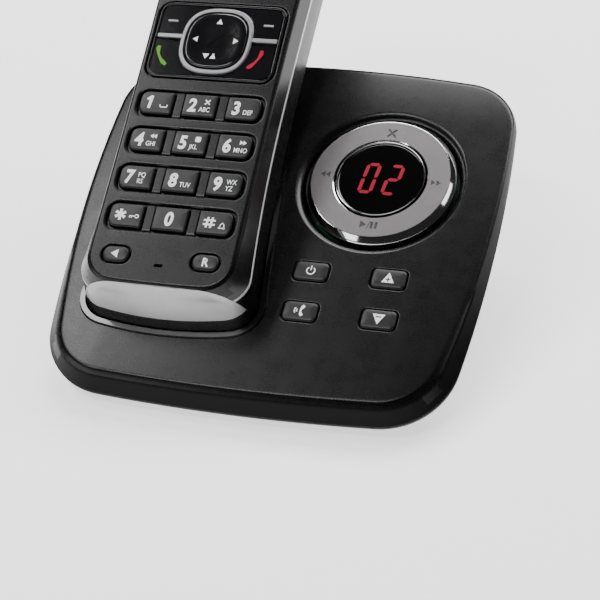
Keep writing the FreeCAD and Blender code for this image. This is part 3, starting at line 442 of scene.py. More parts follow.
def turned(profile: Sequence[tuple[float, float]], steps: int = 96) -> Form:
    """A solid of revolution round the upright axis.

    Args:
        profile: Closed profile as (radius, level); points on the axis may be repeated ends.
        steps: Steps round the axis.

    Returns:
        The solid, its faces pointing outwards.
    """
    form = bmesh.new()
    bmesh.ops.create_circle(form, cap_ends=False, radius=1.0, segments=len(profile))
    for vert, (radius, level) in zip(list(form.verts), profile):
        vert.co = Vector((radius, 0, level))
    axis_edges = [edge for edge in form.edges if all(abs(vert.co.x) < 1e-6 for vert in edge.verts)]
    bmesh.ops.delete(form, geom=axis_edges, context="EDGES")
    bmesh.ops.spin(
        form, geom=list(form.verts) + list(form.edges), cent=(0, 0, 0), axis=(0, 0, 1), angle=2 * math.pi,
        steps=steps, use_merge=True,
    )
    bmesh.ops.remove_doubles(form, verts=form.verts, dist=1e-5)
    bmesh.ops.recalc_face_normals(form, faces=form.faces)
    return form


def block(left: float, right: float, front: float, back: float, low: float, high: float) -> Form:
    """A plain block between its limits, used as a tool or as the start of a piece.

    Args:
        left, right: Limits along x.
        front, back: Limits along y.
        low, high: Limits along z.

    Returns:
        The block.
    """
    form = bmesh.new()
    size = Vector((right - left, back - front, high - low))
    middle = Vector((left + right, front + back, low + high)) / 2
    bmesh.ops.create_cube(form, size=1.0, matrix=Matrix.Translation(middle) @ Matrix.Diagonal((*size, 1.0)))
    return form


def rod(x: float, y: float, radius: float, low: float, high: float, steps: int = 32) -> Form:
    """A round tool or pin."""
    return skin([at(disc_outline(radius, steps, x, y), low), at(disc_outline(radius, steps, x, y), high)])


def joined(forms: Iterable[Form]) -> Form:
    """One form that holds several.

    Args:
        forms: The forms, which are freed.

    Returns:
        Their faces together.
    """
    whole = bmesh.new()
    for form in forms:
        mesh = bpy.data.meshes.new("part")
        form.to_mesh(mesh)
        form.free()
        whole.from_mesh(mesh)
        bpy.data.meshes.remove(mesh)
    return whole


def moved(form: Form, place: Matrix) -> Form:
    """The form, taken to another place."""
    bmesh.ops.transform(form, matrix=place, verts=form.verts)
    return form


def shaped(form: Form, tool: Form, cut: Cut = Cut.TAKE) -> Form:
    """A form after another one has cut it, kept only a part of it, or been joined to it.

    Args:
        form: What is shaped; used up.
        tool: What shapes it; used up.
        cut: What the tool does.

    Returns:
        The new form.
    """
    holders = []
    for name, item in (("form", form), ("tool", tool)):
        mesh = bpy.data.meshes.new(name)
        item.to_mesh(mesh)
        item.free()
        holder = bpy.data.objects.new(name, mesh)
        bpy.context.scene.collection.objects.link(holder)
        holders.append(holder)
    modifier = holders[0].modifiers.new("cut", "BOOLEAN")
    modifier.solver = "EXACT"
    modifier.operation = cut.value
    modifier.object = holders[1]
    bpy.context.view_layer.update()
    evaluated = holders[0].evaluated_get(bpy.context.evaluated_depsgraph_get())
    mesh = bpy.data.meshes.new_from_object(evaluated)
    result = bmesh.new()
    result.from_mesh(mesh)
    for holder in holders:
        data = holder.data
        bpy.data.objects.remove(holder)
        bpy.data.meshes.remove(data)
    bpy.data.meshes.remove(mesh)
    bmesh.ops.remove_doubles(result, verts=result.verts, dist=1e-4)
    bmesh.ops.dissolve_degenerate(result, edges=result.edges, dist=1e-4)
    return result


def copied(form: Form) -> Form:
    """A second copy of a form."""
    return form.copy()


def wedge(points: Sequence[tuple[float, float]], low: float, high: float) -> Form:
    """A flat shape of straight edges, given thickness."""
    outline = [Vector(point) for point in points]
    return skin([at(outline, low), at(outline, high)])


def stroke(points: Sequence[tuple[float, float]], widths: Sequence[float], low: float, high: float) -> Form:
    """A line drawn with a width at each of its points, given thickness.

    Args:
        points: The line's points.
        widths: Its width at each point, or one width for all.
        low: Underside.
        high: Top.

    Returns:
        The solid line.
    """
    line = [Vector(point) for point in points]
    wide = list(widths) if len(widths) == len(line) else [widths[0]] * len(line)
    left, right = [], []
    for index, point in enumerate(line):
        before = line[max(index - 1, 0)]
        after = line[min(index + 1, len(line) - 1)]
        run = (after - before).normalized()
        side = Vector((-run.y, run.x)) * wide[index] / 2
        left.append(point + side)
        right.append(point - side)
    outline = left + right[::-1]
    return skin([at(outline, low), at(outline, high)])


def curve_points(
    centre: tuple[float, float], radius: float, start: float, end: float, steps: int
) -> list[tuple[float, float]]:
    """Points on a circle between two angles in degrees, both ends included.

    Args:
        centre: Middle of the circle.
        radius: Its radius.
        start, end: First and last angle in degrees.
        steps: Number of runs.

    Returns:
        The points in order.
    """
    result = []
    for index in range(steps + 1):
        angle = math.radians(start + (end - start) * index / steps)
        result.append((centre[0] + radius * math.cos(angle), centre[1] + radius * math.sin(angle)))
    return result


def lettering(text: str, height: float, x: float, y: float, low: float, bold: float = 0.0,
              narrow: float = 1.0,
              lean: float = 0.0, thick: float = 0.05) -> Form:
    """Characters as a thin solid, standing on a line.

    Args:
        text: What is written.
        height: Height of a capital letter.
        x: Left end of the line.
        y: The line that the characters stand on.
        low: Underside of the characters.
        bold: How much their strokes are thickened, as a share of the size.
        narrow: Width of a character against its normal width.
        lean: Sideways lean.
        thick: Thickness.

    Returns:
        The characters.
    """
    curve = bpy.data.curves.new("lettering", "FONT")
    curve.body = text
    curve.size = 1.0
    curve.offset = bold
    curve.shear = lean
    curve.extrude = 0.5
    curve.resolution_u = 3
    holder = bpy.data.objects.new("lettering", curve)
    bpy.context.scene.collection.objects.link(holder)
    bpy.context.view_layer.update()
    evaluated = holder.evaluated_get(bpy.context.evaluated_depsgraph_get())
    mesh = bpy.data.meshes.new_from_object(evaluated)
    form = bmesh.new()
    form.from_mesh(mesh)
    bpy.data.objects.remove(holder)
    bpy.data.curves.remove(curve)
    bpy.data.meshes.remove(mesh)
    bmesh.ops.remove_doubles(form, verts=form.verts, dist=1e-5)
    bmesh.ops.recalc_face_normals(form, faces=form.faces)
    scale = height / 0.73
    place = Matrix.Translation((x, y, low + thick / 2)) @ Matrix.Diagonal(
        (scale * narrow, scale, thick, 1.0)
    )
    return moved(form, place)


# Shader desk


class Signal:
    """A node's output that can be used in sums."""

    def __init__(self, desk: "Desk", socket: bpy.types.NodeSocket) -> None:
        """Keeps the socket and the desk that it belongs to."""
        self.desk = desk
        self.socket = socket

    def _sum(self, operation: str, first: Any, second: Any) -> "Signal":
        """One Math node."""
        return self.desk.node("ShaderNodeMath", {"operation": operation}, {0: first, 1: second})

    def __add__(self, other: Any) -> "Signal":
        """Sum."""
        return self._sum("ADD", self, other)

    __radd__ = __add__

    def __sub__(self, other: Any) -> "Signal":
        """Difference."""
        return self._sum("SUBTRACT", self, other)

    def __rsub__(self, other: Any) -> "Signal":
        """Difference from a number."""
        return self._sum("SUBTRACT", other, self)

    def __mul__(self, other: Any) -> "Signal":
        """Product."""
        return self._sum("MULTIPLY", self, other)

    __rmul__ = __mul__

    def __truediv__(self, other: Any) -> "Signal":
        """Quotient."""
        return self._sum("DIVIDE", self, other)

    def __gt__(self, other: Any) -> "Signal":
        """One where the signal is greater, zero elsewhere."""
        return self._sum("GREATER_THAN", self, other)

    def sine(self) -> "Signal":
        """Sine of the signal."""
        return self.desk.node("ShaderNodeMath", {"operation": "SINE"}, {0: self})


class Desk:
    """Builds one material's nodes."""

    def __init__(self, name: str) -> None:
        """Starts an empty material.

        Args:
            name: The material's name.
        """
        self.material = bpy.data.materials.new(name)
        self.material.use_nodes = True
        self.tree = self.material.node_tree
        self.tree.nodes.clear()

    def node(self, kind: str, settings: Mapping[str, Any] | None = None,
             inputs: Mapping[Any, Any] | None = None, out: Any = 0) -> Signal:
        """Adds any node.

        Args:
            kind: Its type.
            settings: Its own settings; "stops" gives a ramp's (place, colour) pairs.
            inputs: Values or signals for its sockets, by name or number.
            out: Which output to use.

        Returns:
            The chosen output.
        """
        made = self.tree.nodes.new(kind)
        for name, value in (settings or {}).items():
            if name == "stops":
                ramp = made.color_ramp
                while len(ramp.elements) < len(value):
                    ramp.elements.new(0.5)
                for element, (place, colour) in zip(ramp.elements, value):
                    element.position = place
                    element.color = (*colour, 1.0)
            else:
                setattr(made, name, value)
        for key, value in (inputs or {}).items():
            if isinstance(value, Signal):
                self.tree.links.new(value.socket, made.inputs[key])
            else:
                made.inputs[key].default_value = value
        return Signal(self, made.outputs[out])

    def where(self, turn: Matrix | None = None) -> Signal:
        """Object coordinates in metres, or the coordinates of a frame given in millimetres.

        Args:
            turn: The frame.

        Returns:
            The coordinates.
        """
        spot = self.node("ShaderNodeTexCoord", None, None, "Object")
        if turn is None:
            return spot
        location, rotation, _ = (MILLIMETRES @ turn).decompose()
        settings = {"vector_type": "TEXTURE"}
        return self.node("ShaderNodeMapping", settings, {0: spot, 1: location, 2: rotation.to_euler()})

    def grain(
        self, size: float, detail: float = 3.0, spot: Signal | None = None, rough: float = 0.5
    ) -> Signal:
        """Noise whose features are about as large as the size, in millimetres."""
        inputs = {
            "Vector": spot or self.where(), "Scale": 1000.0 / size, "Detail": detail, "Roughness": rough
        }
        return self.node("ShaderNodeTexNoise", None, inputs, 0)

    def blend(self, share: Any, first: Any, second: Any) -> Signal:
        """Two colours mixed.

        Args:
            share: Share of the second.
            first, second: Colours, or signals.

        Returns:
            The mix.
        """
        first = first if isinstance(first, Signal) else (*first, 1.0)
        second = second if isinstance(second, Signal) else (*second, 1.0)
        return self.node("ShaderNodeMix", {"data_type": "RGBA"}, {0: share, 6: first, 7: second}, 2)

    def relief(
        self, height: Signal, depth: float, strength: float = 1.0, under: Signal | None = None
    ) -> Signal:
        """A bump of a given depth in millimetres.

        Args:
            height: The pattern.
            depth: The depth.
            strength: How much of it counts.
            under: Another bump beneath.

        Returns:
            The surface direction.
        """
        inputs = {"Height": height, "Distance": depth / 1000, "Strength": strength}
        if under is not None:
            inputs["Normal"] = under
        return self.node("ShaderNodeBump", None, inputs, "Normal")

    def ramp(self, share: Signal, stops: Sequence[tuple[float, Colour]]) -> Signal:
        """A colour ramp."""
        return self.node("ShaderNodeValToRGB", {"stops": list(stops)}, {0: share}, 0)

    def finish(self, **inputs: Any) -> bpy.types.Material:
        """Adds the surface shader and closes the material."""
        named = {}
        for name, value in inputs.items():
            is_colour = isinstance(value, tuple) and len(value) == 3
            named[name.replace("_", " ")] = (*value, 1.0) if is_colour else value
        shader = self.node("ShaderNodeBsdfPrincipled", None, named)
        output = self.tree.nodes.new("ShaderNodeOutputMaterial")
        self.tree.links.new(shader.socket, output.inputs[0])
        return self.material


# Finishes


def scaled(colour: Colour, by: float) -> Colour:
    """A colour made lighter or darker."""
    return (colour[0] * by, colour[1] * by, colour[2] * by)


@dataclass(frozen=True)
class SatinPlastic:
    """Moulded plastic with a fine spark-eroded texture."""

    name: str
    colour: Colour
    roughness: float = 0.42
    grain: float = 0.3
    depth: float = 0.012
    specular: float = 0.5

    def material(self) -> bpy.types.Material:
        """Builds the material."""
        desk = Desk(self.name)
        mottle = desk.grain(16.0, 2.0)
        speck = desk.grain(self.grain, 2.0)
        rub = desk.grain(5.0, 4.0)
        colour = desk.blend(mottle, scaled(self.colour, 0.85), scaled(self.colour, 1.15))
        roughness = self.roughness + 0.10 * (speck - 0.5) + 0.08 * (rub - 0.5)
        return desk.finish(
            Base_Color=colour, Roughness=roughness, Specular_IOR_Level=self.specular,
            Normal=desk.relief(speck, self.depth, 0.4),
        )


@dataclass(frozen=True)
class GlossPlastic:
    """Polished plastic or dark glass with faint wipe marks."""

    name: str
    colour: Colour
    roughness: float = 0.07
    coat: float = 0.5

    def material(self) -> bpy.types.Material:
        """Builds the material."""
        desk = Desk(self.name)
        wipe = desk.grain(9.0, 4.0)
        dust = desk.grain(0.5, 2.0)
        roughness = self.roughness + 0.05 * wipe * (dust + 0.4)
        colour = desk.blend(wipe, scaled(self.colour, 0.8), scaled(self.colour, 1.2))
        return desk.finish(
            Base_Color=colour, Roughness=roughness, Coat_Weight=self.coat, Coat_Roughness=0.04,
            Normal=desk.relief(wipe, 0.01, 0.12),
        )


@dataclass(frozen=True)
class SparkledMetal:
    """Silver lacquer or blasted metal with fine bright flakes."""

    name: str
    colour: Colour
    roughness: float = 0.34
    metallic: float = 0.85
    flake: float = 0.16
    depth: float = 0.02

    def material(self) -> bpy.types.Material:
        """Builds the material."""
        desk = Desk(self.name)
        flakes = desk.node("ShaderNodeTexVoronoi", {"feature": "F1"},
                           {"Vector": desk.where(), "Scale": 1000.0 / self.flake}, "Color")
        glint = desk.node("ShaderNodeSeparateColor", None, {0: flakes}, 0)
        cloud = desk.grain(6.0, 3.0)
        tone = 0.5 * glint + 0.5 * cloud
        colour = desk.blend(tone, scaled(self.colour, 0.78), scaled(self.colour, 1.18))
        roughness = self.roughness + 0.16 * (glint - 0.5)
        return desk.finish(
            Base_Color=colour, Metallic=self.metallic, Roughness=roughness,
            Normal=desk.relief(glint, self.depth, 0.30),
        )


@dataclass(frozen=True)
class PolishedMetal:
    """Bright plating with faint polishing marks."""

    name: str
    colour: Colour
    roughness: float = 0.07

    def material(self) -> bpy.types.Material:
        """Builds the material."""
        desk = Desk(self.name)
        haze = desk.grain(3.0, 5.0)
        hair = desk.grain(0.25, 3.0)
        roughness = self.roughness + 0.07 * haze * hair
        colour = desk.blend(haze, scaled(self.colour, 0.93), scaled(self.colour, 1.03))
        return desk.finish(
            Base_Color=colour, Metallic=1.0, Roughness=roughness, Normal=desk.relief(haze, 0.01, 0.10),
        )


@dataclass(frozen=True)
class Print:
    """Printed ink, a little uneven where it meets the texture under it."""

    name: str
    colour: Colour
    # Emission: a real lit display on the message digits, painted glow on the ink prints.
    glow: float = 0.0

    def material(self) -> bpy.types.Material:
        """Builds the material."""
        desk = Desk(self.name)
        cover = desk.grain(0.35, 3.0)
        colour = desk.blend(cover, scaled(self.colour, 0.84), scaled(self.colour, 1.06))
        return desk.finish(
            Base_Color=colour, Roughness=0.42 + 0.2 * (cover - 0.5), Specular_IOR_Level=0.15,
            Emission_Color=colour, Emission_Strength=self.glow, Normal=desk.relief(cover, 0.01, 0.2),
        )


@dataclass(frozen=True)
class Rubber:
    """Matt elastomer with a pebbled skin."""

    name: str
    colour: Colour
    pebble: float = 0.5

    def material(self) -> bpy.types.Material:
        """Builds the material."""
        desk = Desk(self.name)
        pebbles = desk.node("ShaderNodeTexVoronoi", {"feature": "SMOOTH_F1"},
                            {"Vector": desk.where(), "Scale": 1000.0 / self.pebble}, "Distance")
        dust = desk.grain(4.0, 4.0)
        colour = desk.blend(dust, self.colour, scaled(self.colour, 1.7))
        return desk.finish(
            Base_Color=colour, Roughness=0.72 + 0.2 * (dust - 0.5), Normal=desk.relief(pebbles, 0.05, 0.5),
        )


@dataclass(frozen=True)
class CircuitBoard:
    """Green solder mask over copper tracks, with tinned pads."""

    name: str = "circuit_board"

    def material(self) -> bpy.types.Material:
        """Builds the material."""
        desk = Desk(self.name)
        tracks = desk.node(
            "ShaderNodeTexBrick", {"offset": 0.37},
            {"Vector": desk.where(), "Scale": 260.0, "Mortar Size": 0.018, "Brick Width": 0.8,
             "Row Height": 0.27},
            "Fac",
        )
        dots = desk.node("ShaderNodeTexVoronoi", None, {"Vector": desk.where(), "Scale": 210.0}, "Distance")
        pads = 1.0 - (dots > 0.17)
        mask = desk.blend(tracks, (0.012, 0.085, 0.035), (0.03, 0.17, 0.07))
        colour = desk.blend(pads, mask, (0.62, 0.60, 0.55))
        return desk.finish(
            Base_Color=colour, Metallic=pads, Roughness=0.38 - 0.1 * pads, Normal=desk.relief(
                tracks, 0.03, 0.6
            ),
        )


@dataclass(frozen=True)
class CellWrap:
    """Printed shrink sleeve round a rechargeable cell."""

    name: str = "cell_wrap"

    def material(self) -> bpy.types.Material:
        """Builds the material."""
        desk = Desk(self.name)
        along = desk.node("ShaderNodeSeparateXYZ", None, {0: desk.where(PLACES.handset())}, "Y")
        bands = desk.node("ShaderNodeMapRange", None, {0: along, 1: -0.02, 2: 0.03})
        wear = desk.grain(2.0, 4.0)
        colour = desk.ramp(bands + 0.01 * wear, [
            (0.0, (0.55, 0.56, 0.58)), (0.10, (0.02, 0.16, 0.10)), (0.62, (0.03, 0.22, 0.14)),
            (0.66, (0.8, 0.8, 0.8)), (0.70, (0.02, 0.16, 0.10)), (0.93, (0.6, 0.6, 0.6)),
        ])
        return desk.finish(
            Base_Color=colour, Roughness=0.3 + 0.15 * wear, Normal=desk.relief(wear, 0.02, 0.3)
        )


@dataclass(frozen=True)
class ScreenGlass:
    """Dark display glass with the unlit crystal display showing through its middle."""

    name: str = "screen_glass"
    middle: float = 71.5
    half_width: float = 15.4
    half_height: float = 12.9

    def material(self) -> bpy.types.Material:
        """Builds the material."""
        desk = Desk(self.name)
        spot = desk.where(PLACES.handset() @ Matrix.Translation((0, self.middle, 0)))
        split = {axis: desk.node("ShaderNodeSeparateXYZ", None, {0: spot}, axis) for axis in "XY"}
        inside: Any = 1.0
        for axis, half in (("X", self.half_width), ("Y", self.half_height)):
            reach = desk.node("ShaderNodeMath", {"operation": "ABSOLUTE"}, {0: split[axis]})
            inside = (1.0 - (reach > half / 1000)) * inside
        dots = (split["X"] * 9000.0).sine() * (split["Y"] * 9000.0).sine()
        panel = desk.blend(dots * 0.5 + 0.5, (0.075, 0.10, 0.085), (0.105, 0.135, 0.11))
        colour = desk.blend(inside, (0.004, 0.004, 0.005), panel)
        wipe = desk.grain(8.0, 4.0)
        return desk.finish(
            Base_Color=colour, Roughness=0.05 + 0.06 * wipe, Coat_Weight=0.6, Coat_Roughness=0.03,
            Normal=desk.relief(wipe, 0.01, 0.1),
        )


class Paints:
    """Every finish of the phone, made the first time that it is asked for."""

    FINISHES = (
        SatinPlastic("satin_black", (0.0022, 0.0022, 0.0025), 0.28, 0.3, 0.008, 0.34),
        SatinPlastic("flank_black", (0.0022, 0.0022, 0.0025), 0.34, 0.3, 0.008, 0.10),
        SatinPlastic("side_band", (0.0025, 0.0025, 0.0028), 0.22, 0.3, 0.006, 0.5),
        SatinPlastic("key_plastic", (0.008, 0.008, 0.009), 0.36, 0.22, 0.008, 0.38),
        # Light grey for the keypad bridges' front slopes: a painted highlight on black plastic.
        SatinPlastic("bridge_painted_highlight", (0.07, 0.07, 0.072), 0.45, 0.22, 0.008),
        SatinPlastic("underside_black", (0.014, 0.014, 0.015), 0.55, 0.5, 0.03),
        SatinPlastic("socket_plastic", (0.05, 0.05, 0.052), 0.5, 0.4, 0.02),
        SatinPlastic("dark_parts", (0.03, 0.03, 0.033), 0.55, 0.35, 0.02),
        GlossPlastic("gloss_black", (0.006, 0.006, 0.007), 0.08),
        GlossPlastic("window_glass", (0.002, 0.002, 0.002), 0.03, 0.8),
        SparkledMetal("ring_silver", (0.165, 0.155, 0.16), 0.44, 0.7),
        # Light silver for the chin cap, which is black satin plastic: a painted highlight standing in for
        # its broad reflection.
        SparkledMetal("chin_painted_highlight", (0.40, 0.40, 0.41), 0.36, 0.6, 0.12, 0.01),
        SparkledMetal("frame_silver", (0.24, 0.24, 0.25), 0.36, 0.7, 0.12, 0.01),
        SparkledMetal("trim_silver", (0.84, 0.84, 0.85), 0.34, 0.4, 0.12, 0.004),
        SparkledMetal("legend_grey", (0.055, 0.05, 0.055), 0.5, 0.5),
        PolishedMetal("chrome", (0.86, 0.86, 0.87)),
        PolishedMetal("smoke_chrome", (0.30, 0.30, 0.31), 0.10),
        PolishedMetal("steel", (0.55, 0.55, 0.56), 0.24),
        PolishedMetal("gold_contact", (0.83, 0.62, 0.30), 0.2),
        # The white, green and red key prints carry painted glow: they are unlit ink given emission.
        Print("white_print", (0.88, 0.88, 0.88), 0.4),
        Print("grey_print", (0.45, 0.45, 0.46), 0.0),
        Print("talk_green", (0.10, 0.30, 0.03), 0.25),
        Print("end_red", (0.36, 0.003, 0.028), 0.3),
        Print("lit_red", (0.20, 0.0004, 0.014), 1.1),
        Rubber("rubber", (0.015, 0.015, 0.016)),
        Rubber("silicone", (0.22, 0.23, 0.24), 0.9),
        CircuitBoard(),
        CellWrap(),
        ScreenGlass(),
    )

    def __init__(self) -> None:
        """Indexes the finishes by name."""
        self.finishes = {finish.name: finish for finish in self.FINISHES}
        self.made: dict[str, bpy.types.Material] = {}

    def get(self, name: str) -> bpy.types.Material:
        """The material of a finish."""
        if name not in self.made:
            self.made[name] = self.finishes[name].material()
        return self.made[name]


PAINTS = Paints()


def tint(form: Form, index: int, chosen: Callable[[Any], bool]) -> Form:
    """Give the faces that a test chooses another of the piece's finishes."""
    for face in form.faces:
        if chosen(face):
            face.material_index = index
    return form


def finished(name: str, form: Form, where: Matrix, body: str, paints: Sequence[str],
             replaces: Sequence[str] = (), angle: float = 35.0) -> bpy.types.Object:
    """Turns a form into a piece of the phone.

    Args:
        name: Name of the piece.
        form: Its shape in millimetres in its own frame; used up.
        where: That frame.
        body: The body that it rides on.
        paints: Its finishes, in the order of its faces' numbers.
        replaces: Nodes that it stands for.
        angle: Edges sharper than this stay sharp, in degrees.

    Returns:
        The piece.
    """
    moved(form, MILLIMETRES @ where)
    mesh = bpy.data.meshes.new(name)
    form.to_mesh(mesh)
    form.free()
    mesh.shade_smooth()
    mesh.set_sharp_from_angle(angle=math.radians(angle))
    for paint in paints:
        mesh.materials.append(PAINTS.get(paint))
    piece = bpy.data.objects.new(name, mesh)
    bpy.context.scene.collection.objects.link(piece)
    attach(piece, body)
    if replaces:
        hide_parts(*replaces)
    level = piece.modifiers.new("even_shading", "WEIGHTED_NORMAL")
    level.mode = "FACE_AREA"
    level.keep_sharp = True
    LOG.info("%s: %d faces on %s", name, len(mesh.polygons), body)
    return piece


def cap(patch: Patch, low: float, high: float, edge: float, front: float = 1.0, crown: float = 0.0,
        steps: int = 6) -> Form:
    """A key cap or pad with rounded top edges.

    Args:
        patch: Its outline.
        low: Underside.
        high: Top.
        edge: Radius of the top edges.
        front: How much wider the rounding of the low side is.
        crown: How far the middle stands over the edges.
        steps: Points in each corner.

    Returns:
        The cap.
    """
    rounding = [(0.0, 1.0), (0.08, 0.62), (0.29, 0.29), (0.62, 0.08), (1.0, 0.0)]
    sections = [at(patch.points(steps), low)]
    for inset, drop in rounding:
        outline = patch.inset(inset * edge, inset * edge * front).points(steps)
        sections.append(at(outline, high - crown - drop * edge))
    for share in (0.3, 0.6, 0.85) if crown > 0 else ():
        inset = edge + share * (patch.high - patch.low - 2 * edge) / 2 * 0.8
        outline = patch.inset(inset, inset + edge * (front - 1.0)).points(steps)
        sections.append(at(outline, high - crown * (1 - share) ** 2))
    return skin(sections)


def opening(patch: Patch, low: float, high: float, lip: float, steps: int = 6) -> Form:
    """A tool that cuts a hole or tray whose upper edge is rounded over.

    Args:
        patch: Outline of the hole.
        low: How deep it goes.
        high: Level of the surface that it is cut in.
        lip: Width of the rounding.
        steps: Points in each corner.

    Returns:
        The tool.
    """
    rounding = [(0.0, 1.0), (0.10, 0.55), (0.36, 0.24), (1.0, 0.0), (1.25, -0.06)]
    sections = [at(patch.points(steps), low)]
    sections += [at(patch.inset(-share * lip).points(steps), high - drop * lip) for share, drop in rounding]
    sections.append(at(patch.inset(-1.25 * lip).points(steps), high + 2.0))
    return skin(sections)


def domed(outline: Outline, low: float, high: float, rounding: Sequence[tuple[float, float]]) -> Form:
    """A plate of any outline whose upper edge steps inwards and upwards.

    Args:
        outline: Its outline.
        low: Underside.
        high: Top of the upright wall.
        rounding: (inwards, upwards) steps.

    Returns:
        The plate.
    """
    form = skin([at(outline, low), at(outline, high)])
    form.faces.ensure_lookup_table()
    top = max(form.faces, key=lambda face: face.calc_center_median().z * (len(face.verts) > 4))
    for inwards, upwards in rounding:
        bmesh.ops.inset_region(form, faces=[top], thickness=inwards, depth=upwards, use_even_offset=True)
    return form


# Base


@dataclass
class HandsetForm:
    """The handset's outer form, which its shells, chin, trim and cradle are cut from."""

    length: float = 157.5
    foot: float = 45.5
    thick: float = 23.0
    face_level: float = 0.4
    parting: float = 6.0
    belly: float = 16.0
    end_slant: float = 0.53
    low_bow: float = 100.0
    back_edge: float = 5.0
    shoulder_rise: float = 3.0
    shoulder_inset: float = 1.5

    @property
    def head(self) -> float:
        """Upper end, from the middle of the number keys."""
        return self.length - self.foot

    def face(self) -> WaistedBar:
        """Outline of the face."""
        foot = self.foot - self.end_slant * (self.belly - self.face_level)
        return WaistedBar(42.0, 41.8, 43.6, foot, self.head - 2.5, 3 * self.low_bow)

    def middle(self) -> WaistedBar:
        """Outline at the parting line."""
        foot = self.foot - self.end_slant * (self.belly - self.parting)
        return WaistedBar(50.6, 44.6, 46.8, foot, self.head, self.low_bow)

    def widest(self) -> WaistedBar:
        """Outline at the belly."""
        return WaistedBar(50.6, 44.6, 46.8, self.foot, self.head, self.low_bow)

    def sections(self, grow: float = 0.0) -> list[Outline]:
        """Outlines from the back to the face, grown by a distance.

        Args:
            grow: How far the form is grown outwards.

        Returns:
            The outlines with their levels.
        """
        face, middle, widest = self.face(), self.middle(), self.widest()
        shoulder = self.thick - self.shoulder_rise
        result = []
        for share, extra in (
            (1.0, 0.55), (0.96, 0.25), (0.86, 0.1), (0.66, 0.03), (0.33, 0.03), (0.0, 0.12)
        ):
            inset = self.shoulder_inset + share * (self.back_edge - self.shoulder_inset) + extra
            result.append(at(widest.points(grow - inset), -shoulder - share * (self.shoulder_rise + grow)))
        for share, extra in ((0.75, 0.05), (0.5, 0.04), (0.25, 0.06)):
            level = -self.belly - share * (shoulder - self.belly)
            result.append(at(widest.points(grow - share * self.shoulder_inset - extra), level))
        for share in (0.0, 0.5, 1.0):
            level = -self.belly + share * (self.belly - self.parting)
            result.append(at(widest.towards(middle, share).points(grow), level))
        rise = self.parting - self.face_level
        for share in (0.3, 0.6, 0.80, 0.88):
            result.append(at(middle.towards(face, share).points(grow), -self.parting + share * rise))
        top = -self.face_level + grow
        for inset, drop in ((0.0, 0.42), (0.18, 0.22), (0.45, 0.08), (0.9, 0.0)):
            result.append(at(face.points(grow - inset), top - drop))
        return result

    def solid(self, grow: float = 0.0) -> Form:
        """The whole form."""
        return skin(self.sections(grow))


